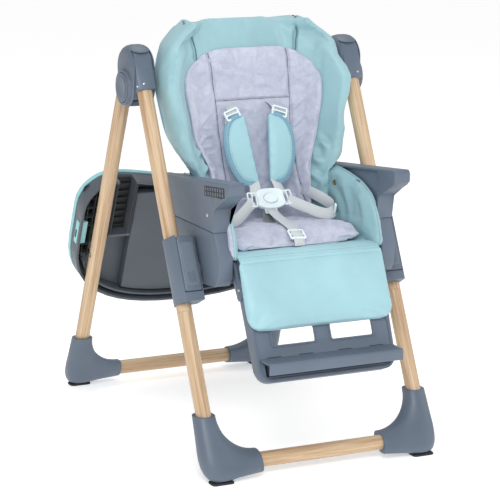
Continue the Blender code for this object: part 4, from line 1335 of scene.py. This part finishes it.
def build_seat_cover():
    rings = []
    for i in range(11):
        y = -0.300 + 0.226 * i / 10
        rings.append(trough(y, SEAT_COVER_OUT) + trough(y, SEAT_COVER_IN)[::-1])
    smooth_wing = [(p.y, p.z) for p in curved([Vector((0.0, y, z)) for y, z in WING_OUTLINE[:9]], 4)]
    wing = smooth_wing + list(WING_OUTLINE[9:])
    forms = [loft(rings), extruded(wing, -WING_OUT, -WING_IN), extruded(wing, WING_IN, WING_OUT)]
    front = curved([Vector((0.0, y, z)) for y, z in WING_OUTLINE[1:9]], 6)
    for _, side in SIDES:
        forms.append(sweep([at(side * 0.1800, p.y + 0.003, p.z - 0.003) for p in front], circle(0.0090, 12)))

    def held(p, n):
        under = n.z < -0.5 and abs(p.x) < 0.17
        outside = abs(p.x) > 0.176 and p.x * n.x > 0.0 and p.y - SHIFT > -0.27 and p.z < 0.59
        return 1.0 if under or outside or p.z < SEAT_FRONT_Z else 0.0

    return cushion("seat_cover_pad", merged(forms), 0.0050, held, 0.0045, 4.0, 0.0, 0.0008)


def build_seat_liner():
    """A loose quilted pad with a soft wavy front edge, its front corners riding up the wings."""
    rings = []
    count = 40
    for i in range(17):
        share = i / 16.0
        y = -0.306 + 0.208 * share
        rise = math.sin(math.pi / 2.0 * min(1.0, 0.30 + 2.6 * share))
        ring = []
        for k in range(count):
            turn = math.tau * k / count
            x = 0.1530 * math.copysign(abs(math.cos(turn)) ** 0.5, math.cos(turn))
            up = math.copysign(abs(math.sin(turn)) ** 0.85, math.sin(turn))
            phase = (x + 0.03) / 0.10 if x < 0.02 else 0.5 + (x - 0.02) / 0.16
            lobes = math.cos(math.tau * phase)
            front = max(0.0, 1.0 - share / 0.35)
            thick = 0.0165 * rise + 0.0026 * lobes * front
            floor = seat_floor(y + SHIFT) + SEAT_COVER_IN + 0.0016
            edge = max(0.0, (abs(x) - 0.085) / 0.065) ** 2
            lift = (0.014 if x > 0.0 else 0.005) * edge
            ring.append(at(x, y - 0.008 * front * lobes, floor + thick + up * thick + lift))
        rings.append(ring)

    def held(p, n):
        return 1.0 if n.z < -0.45 and abs(p.x) < 0.12 else 0.0

    return cushion("seat_liner_pad", loft(rings), 0.0048, held, 0.009, 4.0, 0.06, 0.0010)


def top_of_seat(x, y):
    """A spot just over the seat liner."""
    return at(x, y, seat_floor(y + SHIFT) + SEAT_COVER_IN + 0.036)


# lines over the seat liner: first x and its step, first y and its step, and the count
SEAT_DIPS = (
    (-0.080, 0.008, -0.300, 0.016, 7), (0.022, -0.003, -0.300, 0.014, 7),
    (0.120, -0.010, -0.275, 0.018, 6),
)
SEAT_RIDGES = (
    (-0.075, 0.006, -0.285, 0.016, 6), (0.085, 0.004, -0.290, 0.016, 6),
    (0.010, 0.008, -0.295, 0.012, 5),
)


def seat_runs(lines):
    return [[top_of_seat(x + dx * j, y + dy * j) for j in range(count)] for x, dx, y, dy, count in lines]


def finish_seat_cover(cover):
    def wall_in(p, n):
        return abs(p[0]) > 0.150 and p[0] * n[0] < 0.35

    def on_wall(p, _):
        return 1.0 if abs(p[0]) > 0.155 and p[2] > 0.485 else 0.0

    wrinkles = []
    for _, side in SIDES:
        x = side * 0.164
        runs = (
            ((-0.176, 0.592), (-0.206, 0.566), (-0.226, 0.530), (-0.232, 0.500)),
            ((-0.250, 0.590), (-0.284, 0.556), (-0.300, 0.516), (-0.306, 0.486)),
            ((-0.140, 0.560), (-0.170, 0.536), (-0.200, 0.500)),
        )
        wrinkles += [[at(x, y, z) for y, z in run] for run in runs]
    fold(cover, wrinkles, 0.0030, 0.0110, wall_in)
    crumple(cover, 13.0, 0.0034, on_wall)
    crumple(cover, 60.0, 0.0008, on_wall)
    settle(cover, "seat_cover", LEATHER, "seat")
    paint_faces(cover, VELOUR, lambda c, n: abs(c.x) > 0.1790 and c.z > 0.462)
    for label, side in SIDES:
        line = curved([at(side * 0.1790, y - 0.012, z + 0.002) for y, z in WING_OUTLINE[:9]], 8)
        piping(f"seat_wing_piping_{label}", cover, line, 0.0024, LEATHER, "seat", 0.0008)


def finish_seat_liner(liner):
    press(liner, seat_runs(SEAT_DIPS), 0.0070, 0.0110, 0.0)
    fold(liner, seat_runs(SEAT_RIDGES), 0.0032, 0.0095)
    crumple(liner, 26.0, 0.0040, lambda p, n: 1.0 if n[2] > -0.3 else 0.0)
    crumple(liner, 60.0, 0.0012, lambda p, n: 1.0 if n[2] > -0.3 else 0.0)
    settle(liner, "seat_liner", VELOUR, "seat")
    rim = []
    for i in range(61):
        turn = math.pi + math.pi * i / 60.0
        x = 0.150 * math.copysign(abs(math.cos(turn)) ** 0.35, math.cos(turn))
        y = -0.190 + 0.130 * math.copysign(abs(math.sin(turn)) ** 0.5, math.sin(turn))
        rim.append(at(x, y, seat_floor(y + SHIFT) + SEAT_COVER_IN + 0.013))
    piping("seat_liner_piping", liner, rim, 0.0013, VELOUR, "seat", 0.0002)


# ---------------------------------------------------------------- leg rest

LEG_REST_TAPER = 0.13
CALF_OUT = 0.0265
CALF_TOP = -0.001


def tapered(outline):
    return [(a * (1.0 + LEG_REST_TAPER * b), b) for a, b in outline]


def calf_form():
    corners = rounded(-0.1775, 0.1775, -0.155, CALF_TOP, 0.035, 8)
    outline = tapered(corners[0:9] + [(0.1775, CALF_TOP), (-0.1775, CALF_TOP)] + corners[27:36])
    rings = []
    for out, fuller in ((CALF_OUT, 0.0), (CALF_OUT + 0.0115, 1.0)):
        ring = []
        for a, b in outline:
            low = max(0.0, -b / 0.155)
            ring.append(LEG_REST.at(a * (1.0 + 0.022 * low), b, out + 0.009 * fuller * low))
        rings.append(ring)
    return loft(rings)


def build_calf_pad():
    def held(p, n):
        at_top = (p - LEG_REST.origin).dot(LEG_REST.up) > CALF_TOP - 0.006
        return 1.0 if n.dot(LEG_REST.out) < -0.3 or at_top else 0.0

    return cushion("calf_rest_pad", calf_form(), 0.0050, held, 0.0045, 4.0, 0.004, 0.0006)


ROLL_PATH = (
    (-0.2800, 0.4690), (-0.2960, 0.4708), (-0.3120, 0.4728), (-0.3280, 0.4738), (-0.3420, 0.4718),
    (-0.3545, 0.4668), (-0.3640, 0.4605),
)


def build_front_roll():
    """The strip of cover between the seat's front edge and the leg rest, folded along a stitched seam."""
    spine = curved([at(0.0, y, z) for y, z in ROLL_PATH], 5)
    rings = []
    for i, point in enumerate(spine):
        along = (spine[min(i + 1, len(spine) - 1)] - spine[max(i - 1, 0)]).normalized()
        down = Vector((0.0, along.z, -along.y))
        if down.z > 0:
            down = -down
        share = i / (len(spine) - 1)
        half = 0.1705 + 0.0065 * share
        outline = rounded(-half, half, 0.0, 0.0062, 0.0030, 3)
        rings.append([point + Vector((a, 0.0, 0.0)) + down * b for a, b in outline])
    shape = remeshed("front_roll_pad", loft(rings), 0.0042)
    refine(shape)
    crumple(shape, 16.0, 0.0012)
    crease = [at(0.176 * (i / 20.0 - 1.0), -0.3545, 0.4672) for i in range(41)]
    press(shape, [crease], 0.0016, 0.0030, 0.0003)
    # the lighter copy of the teal leather paints light on the front roll
    finish_soft(shape, LIT_LEATHER)
    beside = [p + Vector((0.0, 0.0045, 0.002)) for p in crease]
    threads = stitches("front_roll_stitches", shape, [beside], TEAL_THREAD_AND_SEAM_SHADE, None)
    for item in (shape, threads):
        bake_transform(item)


def soft_strip(name, path, half, thickness, material):
    """A padded strip across the chair that follows a (y, z) path; half gives its half width along it."""
    spine = curved([at(0.0, y, z) for y, z in path], 6)
    rings = []
    for i, point in enumerate(spine):
        along = (spine[min(i + 1, len(spine) - 1)] - spine[max(i - 1, 0)]).normalized()
        out = Vector((0.0, -along.z, along.y))
        wide = half[0] + (half[1] - half[0]) * i / (len(spine) - 1)
        outline = rounded(-wide, wide, -thickness / 2.0, thickness / 2.0, thickness * 0.45, 3)
        rings.append([point + Vector((a, 0.0, 0.0)) + out * b for a, b in outline])
    shape = remeshed(name, loft(rings), 0.0045)
    refine(shape)
    crumple(shape, 20.0, 0.0035)
    crumple(shape, 55.0, 0.0010)
    finish_soft(shape, material)
    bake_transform(shape)


def build_lumbar():
    """The two layers that run from the backrest down on to the seat."""
    lining = (
        (-0.0850, 0.5420), (-0.0810, 0.5200), (-0.0800, 0.5020), (-0.0900, 0.4860),
        (-0.1150, 0.4810), (-0.1450, 0.4830),
    )
    soft_strip("lumbar_liner", lining, (0.120, 0.146), 0.0120, VELOUR)
    backing = ((-0.0640, 0.5250), (-0.0600, 0.5050), (-0.0620, 0.4820), (-0.0760, 0.4660), (-0.1050, 0.4620))
    soft_strip("lumbar_cover", backing, (0.142, 0.160), 0.0070, LEATHER)


def finish_calf(pad):
    crumple(pad, 7.0, 0.0018)
    lines = [
        [LEG_REST.at(-0.05 + 0.02 * j, -0.060 - 0.008 * j, 0.040) for j in range(5)],
        [LEG_REST.at(0.02 + 0.02 * j, -0.120 + 0.004 * j, 0.040) for j in range(4)],
    ]
    fold(pad, lines, 0.0009, 0.012)
    # the lighter copy of the teal leather paints light on the calf pad
    settle(pad, "calf_pad", LIT_LEATHER, "leg_rest")


# ---------------------------------------------------------------- harness

PAD_TURN = math.radians(6.3)
PAD_LEAN = math.radians(18.0)
PAD_T = 0.0125
STRAP_WIDTH = 0.0250
STRAP_THICKNESS = 0.0019


def pad_plane(side):
    return leaning(at(side * 0.046, -0.096, 0.651), PAD_LEAN)


def pad_outline(side, grow=0.0, steps=36):
    """The D of a shoulder pad, its straight edge towards the other pad."""
    flat = [(-0.026 - grow, -0.076), (-0.026 - grow, 0.0), (-0.026 - grow, 0.076)]
    for i in range(steps + 1):
        turn = math.pi * i / steps
        flat.append(((0.050 + grow) * math.sin(turn) ** 0.9 - 0.008, (0.083 + grow) * math.cos(turn)))
    sine, cosine = math.sin(PAD_TURN), math.cos(PAD_TURN)
    return [(side * (a * cosine + b * sine), b * cosine - a * sine) for a, b in flat]


def build_shoulder_pad(side, label):
    plane = pad_plane(side)
    outline = pad_outline(side, -0.001)
    form = loft([[plane.at(a, b, out) for a, b in outline] for out in (0.0015, PAD_T - 0.002)])

    def held(p, n):
        return 1.0 if n.dot(plane.out) < -0.6 else 0.0

    return cushion(f"shoulder_cushion_{label}", form, 0.0030, held, 0.005, 5.0, 0.01, 0.0)


def finish_shoulder_pad(shape, side, label):
    plane = pad_plane(side)
    rim = [plane.at(a, b, PAD_T * 0.5) for a, b in pad_outline(side)]
    rim.append(rim[0])
    inner = [plane.at(a, b, PAD_T) for a, b in pad_outline(side, -0.0115)[3:]]
    press(shape, [inner], 0.0022, 0.0022, 0.0003, lambda p, n: Vector(n).dot(plane.out) > 0.3)
    # the lighter copy of the teal leather paints light on the shoulder pad
    settle(shape, f"shoulder_pad_{label}", LIT_LEATHER, "backrest")
    curve = path_tree([rim[3:-1]])
    paint_faces(shape, BINDING, lambda c, n: curve.find(c)[2] < 0.0118)
    threads = [plane.at(a, b, PAD_T) for a, b in pad_outline(side, -0.0085)[3:]]
    stitches(f"shoulder_stitches_{label}", shape, [threads], TEAL_THREAD_AND_SEAM_SHADE, "backrest", 0.0036, 0.0024)
    path = snapped(shape, [rim[:-1]])[0]
    piece(f"shoulder_edge_{label}", sweep(path, circle(0.0020, 8), True), BINDING, "backrest", 180.0)


def strap(name, points, across, width, material, body, node=None):
    """A flat webbing along a smooth path."""
    path = curved([at(*p) for p in points])
    shape = piece(name, sweep(path, tape(width, STRAP_THICKNESS), across=across), material, body, 50.0)
    if node:
        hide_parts(node)
    return shape


def frame_outlines(width, height, border, bars=1, radius=0.004):
    """A rounded frame with one slot more than it has bars."""
    outer = rounded(-width / 2, width / 2, -height / 2, height / 2, radius, 4)
    slots = bars + 1
    bar = border * 0.8
    room = (height - 2.0 * border - bars * bar) / slots
    holes = []
    for i in range(slots):
        low = -height / 2 + border + i * (room + bar)
        half, corner = width / 2 - border, min(0.0012, room / 3)
        holes.append(rounded(-half, half, low, low + room, corner, 3))
    return [outer] + holes


SHIELD = (
    (-0.033, 0.0160), (-0.020, 0.0235), (0.0, 0.0250), (0.020, 0.0235), (0.033, 0.0160),
    (0.0320, 0.0), (0.0330, -0.0150), (0.0180, -0.0225), (0.0, -0.0240), (-0.0180, -0.0225),
    (-0.0330, -0.0150), (-0.0320, 0.0),
)
# the press button's profile: relative size and distance off the buckle's plane
BUTTON_ROWS = ((1.0, 0.0045), (1.0, 0.0128), (0.95, 0.0140), (0.80, 0.0147), (0.40, 0.0150), (0.02, 0.0151))


def build_buckle():
    plane = BUCKLE
    shield = curved([Vector((a, b, 0.0)) for a, b in SHIELD], 4, True)
    outline = [(p.x, p.y) for p in shield]
    opening = ellipse(0.0186, 0.0124, 40)
    case = plate("buckle_case", [outline, opening], 0.0115, 0.0020, plane.matrix(0, 0, 0.0005), WHITE, "seat")
    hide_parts("buckle_body")
    ring = [plane.at(a, b, 0.0118) for a, b in ellipse(0.0245, 0.0185, 48)]
    piece("buckle_ring", sweep(ring, circle(0.0009, 8), True), WHITE, "seat", 180.0)
    rows = []
    for share, out in BUTTON_ROWS:
        rows.append([plane.at(a, b, out) for a, b in ellipse(0.0178 * share, 0.0117 * share, 40)])
    button = piece("buckle_press_button", loft(rows), WHITE, "buckle_button_body", 60.0)
    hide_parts("buckle_button")
    smaller = [(a * 0.92, b * 0.92) for a, b in outline]
    plate("buckle_back", [smaller], 0.0030, 0.0008, plane.matrix(0, 0, -0.0022), WHITE, "seat")
    for label, side in SIDES:
        matrix = plane.matrix(side * 0.0440, 0.001, 0.0020, math.radians(90.0 + side * 5.0))
        holder = frame_outlines(0.036, 0.024, 0.0034, 1)
        plate(f"buckle_frame_{label}", holder, 0.0065, 0.0012, matrix, WHITE, "seat")
    loop = frame_outlines(0.030, 0.013, 0.0028, 0, 0.003)
    plate("buckle_loop", loop, 0.0045, 0.0010, plane.matrix(-0.004, -0.0275, 0.0025), WHITE, "seat")
    rib = rounded(-0.0007, 0.0007, -0.0055, 0.0055, 0.0006, 3)
    for i in range(3):
        for label, side in SIDES:
            matrix = plane.matrix(side * (0.0262 + 0.0019 * i), 0.0, 0.0112)
            plate(f"buckle_rib_{i}_{label[0]}", [rib], 0.0012, 0.0004, matrix, WHITE, "seat")


# the right-hand straps' paths, mirrored for the left, and the middle strap's
SHOULDER_PATH = (
    (0.0500, -0.0330, 0.7500), (0.0510, -0.0450, 0.7480), (0.0535, -0.0590, 0.7440),
    (0.0565, -0.0695, 0.7370), (0.0600, -0.0725, 0.7290), (0.0630, -0.0735, 0.7180),
    (0.0610, -0.0780, 0.7050),
)
LINK_PATH = (
    (0.0300, -0.1130, 0.6080), (0.0280, -0.1260, 0.5850), (0.0290, -0.1360, 0.5730),
    (0.0320, -0.1440, 0.5630), (0.0350, -0.1500, 0.5560),
)
WAIST_PATH = (
    (0.0430, -0.1575, 0.5460), (0.0560, -0.1650, 0.5390), (0.0780, -0.1820, 0.5290),
    (0.1020, -0.1990, 0.5190), (0.1230, -0.2060, 0.5160), (0.1370, -0.2010, 0.5200),
    (0.1420, -0.1860, 0.5280), (0.1360, -0.1640, 0.5370), (0.1230, -0.1360, 0.5470),
    (0.1120, -0.1090, 0.5530), (0.1060, -0.0880, 0.5560),
)
CROTCH_PATH = (
    (-0.0010, -0.1560, 0.5330), (-0.0020, -0.1760, 0.5230), (-0.0030, -0.2050, 0.5170),
    (-0.0045, -0.2400, 0.5125), (-0.0060, -0.2730, 0.5080), (-0.0070, -0.2960, 0.5020),
    (-0.0075, -0.3105, 0.4925), (-0.0080, -0.3170, 0.4830), (-0.0080, -0.3190, 0.4760),
)
UNDER_PATH = (
    (-0.0080, -0.1600, 0.5220), (-0.0110, -0.1660, 0.5120), (-0.0120, -0.1800, 0.5030),
    (-0.0100, -0.2000, 0.4960), (-0.0080, -0.2200, 0.4900),
)
SHOULDER_SPLAY = math.radians(19.0)


def build_harness():
    build_buckle()
    for label, side in SIDES:
        shoulder, joint, waist = (
            [(side * x, y, z) for x, y, z in path] for path in (SHOULDER_PATH, LINK_PATH, WAIST_PATH)
        )
        plane = leaning(at(side * 0.0595, -0.0735, 0.7310), math.radians(24.0))
        frame_at = plane.matrix(0.0, 0.0, 0.0, -side * SHOULDER_SPLAY)
        name = f"shoulder_adjuster_{label}"
        holder = frame_outlines(0.038, 0.024, 0.0040, 1)
        adjuster = plate(name, holder, 0.0055, 0.0012, frame_at, WHITE, "backrest")
        lean = (1.0, 0.0, -side * math.tan(SHOULDER_SPLAY))
        name = f"shoulder_webbing_{label}"
        strap(name, shoulder, lean, STRAP_WIDTH, WEBBING, "backrest", f"shoulder_strap_{label}")
        cross = (1.0, 0.0, -side * 0.30)
        link = strap(f"shoulder_link_{label}", joint, cross, STRAP_WIDTH, WEBBING, None)
        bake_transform(link)
        upright = (0.0, 0.45, 0.89)
        strap(f"waist_webbing_{label}", waist, upright, STRAP_WIDTH, WEBBING, "seat", f"waist_strap_{label}")
        hook = leaning(at(side * 0.1385, -0.1990, 0.5215), math.radians(-20.0))
        turn = hook.matrix(0.0, 0.0, 0.0, 0.0) @ Matrix.Rotation(math.radians(side * 72.0), 4, "Y")
        tri = frame_outlines(0.012, 0.032, 0.0026, 0, 0.003)
        plate(f"waist_adjuster_{label}", tri, 0.0040, 0.0009, turn, WHITE, "seat")
    level = (1.0, 0.0, 0.0)
    strap("crotch_webbing", CROTCH_PATH, level, 0.0255, WEBBING, "seat", "crotch_strap")
    strap("crotch_webbing_under", UNDER_PATH, level, 0.0235, SHADE_WEBBING, "seat")
    slide_plane = leaning(at(-0.0070, -0.2990, 0.4960), math.radians(62.0))
    matrix = slide_plane.matrix(0.0, 0.0, -0.0005, math.radians(-4.0))
    holder = frame_outlines(0.038, 0.030, 0.0042, 1)
    slider = plate("crotch_slider", holder, 0.0050, 0.0012, matrix, WHITE, "seat")


def build_snap():
    """The press stud that ties the seat's wing to the headrest cover."""
    for label, side in SIDES:
        spot, _, _, _ = tree_of(PADS["seat_cover"]).find_nearest(at(side * 0.160, -0.1600, 0.5760))
        matrix = facing(spot, Vector((-side, -0.4, 0.1)))
        profile = [(0.0001, -0.001), (0.0062, -0.001), (0.0062, 0.0006), (0.0052, 0.0016), (0.0040, 0.0017)]
        profile += [(0.0034, 0.0009), (0.0016, 0.0010), (0.0001, 0.0011)]
        turned(f"wing_snap_{label}", profile, matrix, BRASS, "seat", 28, 50.0)


# ---------------------------------------------------------------- moulded details


def side_facing(side, x, y, z):
    """A frame on a side face, its Z pointing out of the chair."""
    return facing(at(side * x, y, z), (side, 0.0, 0.0))


PIVOT_Z = 0.795
LEG_X = 0.260
HUB_FACE_X = 0.2944
HUB_BUTTON_X = 0.2975
HUB_RING = (
    (0.0335, -0.0005), (0.0375, -0.0005), (0.0378, 0.0003), (0.0370, 0.0010), (0.0345, 0.0010),
    (0.0337, 0.0003),
)
BUTTON_DISH = (
    (0.0001, -0.0003), (0.0245, -0.0003), (0.0260, 0.0004), (0.0252, 0.0010), (0.0225, 0.0008),
    (0.0205, 0.0002), (0.0001, 0.0001),
)


def build_hub_details():
    for label, side in SIDES:
        ring = spun(side_facing(side, HUB_FACE_X, 0.0, PIVOT_Z), HUB_RING, 56)
        piece(f"hub_ring_{label}", loft(ring, True), PLASTIC, "rear_frame", 60.0)
        face = side_facing(side, HUB_BUTTON_X, 0.0, PIVOT_Z)
        turned(f"hub_button_dish_{label}", BUTTON_DISH, face, PLASTIC, f"fold_button_{label}_body", 48, 50.0)
        for k, (up, out) in enumerate(((-0.016, 0.014), (0.046, 0.012))):
            spot = FRONT_LEG.at(side * (0.2394 + 0.0418), up, out)
            screw(f"hub_socket_screw_{label}_{k}", spot, (side, 0.0, 0.0), "front_frame", 0.0032)
        spot = FRONT_LEG.at(side * (LEG_X + 0.008), -0.013, 0.0226)
        screw(f"hub_front_screw_{label}_0", spot, FRONT_LEG.out, "front_frame", 0.0030)


CASING_X = 0.2205


def build_sleeve_details():
    for label, side in SIDES:
        body = f"height_lever_{label}_body"
        inner, outer = sorted((side * 0.2335, side * 0.2640))
        centre_x = (inner + outer) / 2.0
        half = (outer - inner) / 2.0
        face = rounded(-half, half, -0.048, 0.050, 0.006, 5)
        matrix = FRONT_LEG.matrix(centre_x, -0.431, 0.0462)
        # the lever face is glossy and painted lighter as a painted highlight
        insert = plate(f"height_lever_face_{label}", [face], 0.0016, 0.0006, matrix, GLOSS_LIT_GREY, body)
        for k in range(6):
            rib = rounded(-0.0105, 0.0105, -0.0006, 0.0006, 0.0005, 2)
            spot = FRONT_LEG.matrix(centre_x, -0.470 + 0.0042 * k, 0.0475)
            plate(f"lever_grip_{label}_{k}", [rib], 0.0010, 0.0004, spot, PLASTIC, body)
        spot = FRONT_LEG.at(side * 0.2655, -0.376, 0.0445)
        screw(f"sleeve_screw_{label}", spot, FRONT_LEG.out, "seat", 0.0030)
        for word, y, z in (("armrest", -0.2930, 0.5560), ("casing", -0.0750, 0.5050)):
            screw(f"{word}_screw_{label}", at(side * CASING_X, y, z), (side, 0.0, 0.0), "seat", 0.0040)
        hole = [(0.0001, -0.0012), (0.0062, -0.0012), (0.0064, 0.0002), (0.0052, 0.0004), (0.0046, -0.0006)]
        hole += [(0.0001, -0.0008)]
        spot = REAR_LEG.at(side * (LEG_X + 0.0168), -0.4930, 0.0)
        turned(f"rear_leg_button_{label}", hole, facing(spot, (side, 0, 0)), DARK_PLASTIC_AND_SHADE, "rear_frame", 24, 50.0)


def build_armrest_details():
    """The plate that closes each armrest inside, and the toothed rack on its outer face."""
    hollow = ((-0.030, 0.5935), (-0.316, 0.6265), (-0.316, 0.5280), (-0.058, 0.5280))
    slope = math.atan2(0.628 - 0.5945, 0.318 - 0.026)
    for label, side in SIDES:
        low, high = sorted((side * 0.1872, side * 0.1890))
        lid = piece(f"armrest_lining_{label}", extruded(hollow, low, high), PLASTIC, "seat", 40.0)
        rows = Matrix(((0, 0, side), (side, 0, 0), (0, 1, 0))).to_4x4()
        turn = Matrix.Rotation(-side * slope, 4, "Z")
        spot = Matrix.Translation(at(side * 0.2202, -0.3280, 0.6130)) @ rows @ turn
        bed = rounded(-0.0500, 0.0500, -0.0108, 0.0108, 0.0015, 3)
        plate(f"rack_bed_{label}", [bed], 0.0008, 0.0002, spot, DARK_PLASTIC_AND_SHADE, "seat")
        for row, up in enumerate((-0.0050, 0.0050)):
            for k in range(8):
                tooth = rounded(-0.0026, 0.0026, -0.0038, 0.0038, 0.0008, 2)
                shifted = spot @ Matrix.Translation((-0.0420 + 0.0120 * k, up, 0.0006))
                plate(f"rack_tooth_{label}_{row}_{k}", [tooth], 0.0010, 0.0003, shifted, PLASTIC, "seat")


TRAY_FLOOR = 0.0558
CHANNEL_X = 0.2000


def on_tray(x, up, out=TRAY_FLOOR):
    """A frame under the tray, its Z pointing down."""
    return TRAY.matrix(x, up, out, 0.0) @ Matrix.Rotation(math.pi, 4, "Y")


def belly(inset, top, side_room):
    """The tray's rounded front outline moved in, cut off at the sides and closed at the top."""
    points = []
    for i in range(41):
        angle = math.pi + math.pi * i / 40
        x = math.copysign(abs(math.cos(angle)) ** 0.8, math.cos(angle))
        y = math.copysign(abs(math.sin(angle)) ** 0.8, math.sin(angle))
        points.append(((0.304 - inset) * x, 0.195 + (0.195 - inset) * y))
    return [p for p in points if abs(p[0]) < side_room] + [(side_room, top), (-side_room, top)]


def build_tray_details():
    """The underside: a smooth floor between the arm channels, a stepped rim, ribs and rails."""

    def under(name, outline, thickness, bevel, x=0.0, up=0.0, out=TRAY_FLOOR, material=DARK_PLASTIC_AND_SHADE):
        plate(name, [outline], thickness, bevel, on_tray(x, up, out), material, "tray")

    panel = belly(0.0260, 0.318, 0.1660)
    under("tray_underside_floor", panel, 0.0250, 0.0030, material=TRAY_GREY)
    step = [p for p in belly(0.0160, 0.200, 0.290) if p[1] < 0.150]
    inner = [p for p in belly(0.0215, 0.200, 0.2845) if p[1] < 0.150]
    band = step + inner[::-1]
    under("tray_lower_step", band, 0.0330, 0.0010, material=TRAY_GREY)
    for label, side in SIDES:
        for k, up in enumerate((0.160, 0.186, 0.238, 0.262, 0.288, 0.314)):
            wide = (0.2300, 0.2960) if up < 0.30 else (0.2300, 0.2860)
            centre_x = side * sum(wide) / 2.0
            half = (wide[1] - wide[0]) / 2.0
            bar = rounded(-half, half, -0.0011, 0.0011, 0.0009, 2)
            under(f"tray_rib_{label}_{k}", bar, 0.0270, 0.0006, centre_x, up)
        uprights = ((0.2420, 0.215, 0.336), (0.2700, 0.150, 0.330), (0.2860, 0.150, 0.316))
        for k, (x, low, top) in enumerate(uprights):
            bar = rounded(-0.0011, 0.0011, low, top, 0.0009, 2)
            under(f"tray_upright_{label}_{k}", bar, 0.0260, 0.0006, side * x)
        bed = rounded(-0.0325, 0.0325, 0.1500, 0.338, 0.012, 4)
        under(f"tray_corner_bed_{label}", bed, 0.0030, 0.0006, side * 0.2630)
        lining = rounded(-0.0205, 0.0205, 0.2150, 0.3520, 0.003, 3)
        under(f"tray_channel_bed_{label}", lining, 0.0040, 0.0006, side * CHANNEL_X, out=0.0520)
        rung = rounded(-0.0180, 0.0180, -0.0012, 0.0012, 0.0010, 2)
        for k in range(7):
            up = 0.2260 + 0.0190 * k
            under(f"tray_rung_{label}_{k}", rung, 0.0080, 0.0006, side * CHANNEL_X, up, 0.0482)
        rail = rounded(-0.0022, 0.0022, 0.2120, 0.3530, 0.0018, 2)
        for k, x in enumerate((0.1752, 0.2248)):
            under(f"tray_rail_{label}_{k}", rail, 0.0375, 0.0008, side * x)
        centre = middle(f"tray_latch_{label}")
        # a dark plate paints the shade inside the latch's slot
        window = rounded(-0.0035, 0.0035, -0.0150, 0.0060, 0.0020, 3)
        frame_at = Matrix.Translation(Vector((side * 0.3052, centre.y, centre.z)))
        rows = Matrix((TRAY.out * side, TRAY.up, Vector((side, 0.0, 0.0)))).transposed().to_4x4()
        body = f"tray_latch_{label}_body"
        plate(f"tray_latch_slot_{label}", [window], 0.0008, 0.0002, frame_at @ rows, DARK_PLASTIC_AND_SHADE, body)


BOARD_FRONT = 0.026


def build_footboard_details():
    # the ribs in the footboard's recess are dark to paint the recess's shade
    for k in range(22):
        x = -0.143 + 0.0136 * k
        rib = rounded(-0.0011, 0.0011, -0.0110, 0.0110, 0.0009, 2)
        spot = LEG_REST.matrix(x, -0.2365, 0.0122)
        plate(f"recess_rib_{k}", [rib], 0.0070, 0.0005, spot, DARK_PLASTIC_AND_SHADE, "leg_rest")
    edge = tapered(rounded(-0.1690, 0.1690, -0.2585, -0.1400, 0.026, 6))
    inner = tapered(rounded(-0.1648, 0.1648, -0.2543, -0.1442, 0.022, 6))
    flush = LEG_REST.matrix(0, 0, BOARD_FRONT - 0.0006)
    plate("footboard_border", [edge, inner], 0.0022, 0.0008, flush, PLASTIC, "leg_rest")
    for label, side in SIDES:
        centre_x = side * 0.071
        outer = [(a + centre_x, b) for a, b in rounded(-0.0555, 0.0555, -0.1885, -0.1455, 0.006, 4)]
        hole = [(a + centre_x, b) for a, b in rounded(-0.0512, 0.0512, -0.1842, -0.1498, 0.004, 4)]
        name = f"footboard_window_rim_{label}"
        plate(name, [outer, hole], 0.0020, 0.0007, flush, PLASTIC, "leg_rest")
    # dark plates paint the shade inside the hinge slots
    for k, x in enumerate((-0.125, -0.048, 0.048, 0.125)):
        slot = rounded(-0.017, 0.017, -0.0035, 0.0035, 0.0015, 3)
        spot = LEG_REST.matrix(x, -0.2120, BOARD_FRONT - 0.0005)
        plate(f"bar_hinge_slot_{k}", [slot], 0.0012, 0.0004, spot, DARK_PLASTIC_AND_SHADE, "leg_rest")
    for k in range(5):
        y = -0.4445 - 0.0085 * k
        rib = [(-0.155, -0.0009), (0.155, -0.0009), (0.155, 0.0009), (-0.155, 0.0009)]
        matrix = Matrix.Translation(at(0.0, y, 0.2664))
        plate(f"foot_bar_tread_{k}", [rib], 0.0011, 0.0004, matrix, PLASTIC, "foot_bar_body")
    for label, side in SIDES:
        spot = at(side * 0.1768, -0.3620, 0.4020)
        screw(f"leg_rest_screw_{label}", spot, (side, 0.0, 0.0), "leg_rest", 0.0040)


FOOT_SCREW_Z = 0.112


def build_feet_details():
    for label, side in SIDES:
        for word, plane in (("front", FRONT_LEG), ("rear", REAR_LEG)):
            up = (FOOT_SCREW_Z - plane.origin.z) / plane.up.z
            spot = plane.at(side * (LEG_X + 0.0235), up, 0.0)
            screw(f"{word}_foot_screw_{label}_0", spot, (side, 0.0, 0.1), f"{word}_frame", 0.0034)


# ---------------------------------------------------------------- the whole chair

place_camera()
place_lights()
place_floor()
dress_all()
build_tubes()
build_back_panel()
PADS = {
    "cover": build_back_cover(),
    "liner": build_back_liner(),
    "seat_cover": build_seat_cover(),
    "seat_liner": build_seat_liner(),
    "calf": build_calf_pad(),
}
PADS.update({f"shoulder_{label}": build_shoulder_pad(side, label) for label, side in SIDES})
puff_cushions()
finish_back_cover(PADS["cover"])
finish_back_liner(PADS["liner"])
finish_seat_cover(PADS["seat_cover"])
finish_seat_liner(PADS["seat_liner"])
finish_calf(PADS["calf"])
build_front_roll()
build_lumbar()
for label, side in SIDES:
    finish_shoulder_pad(PADS[f"shoulder_{label}"], side, label)
build_harness()
build_snap()
build_hub_details()
build_sleeve_details()
build_armrest_details()
build_tray_details()
build_footboard_details()
build_feet_details()

for material in [m for m in bpy.data.materials if m.users == 0]:
    bpy.data.materials.remove(material)
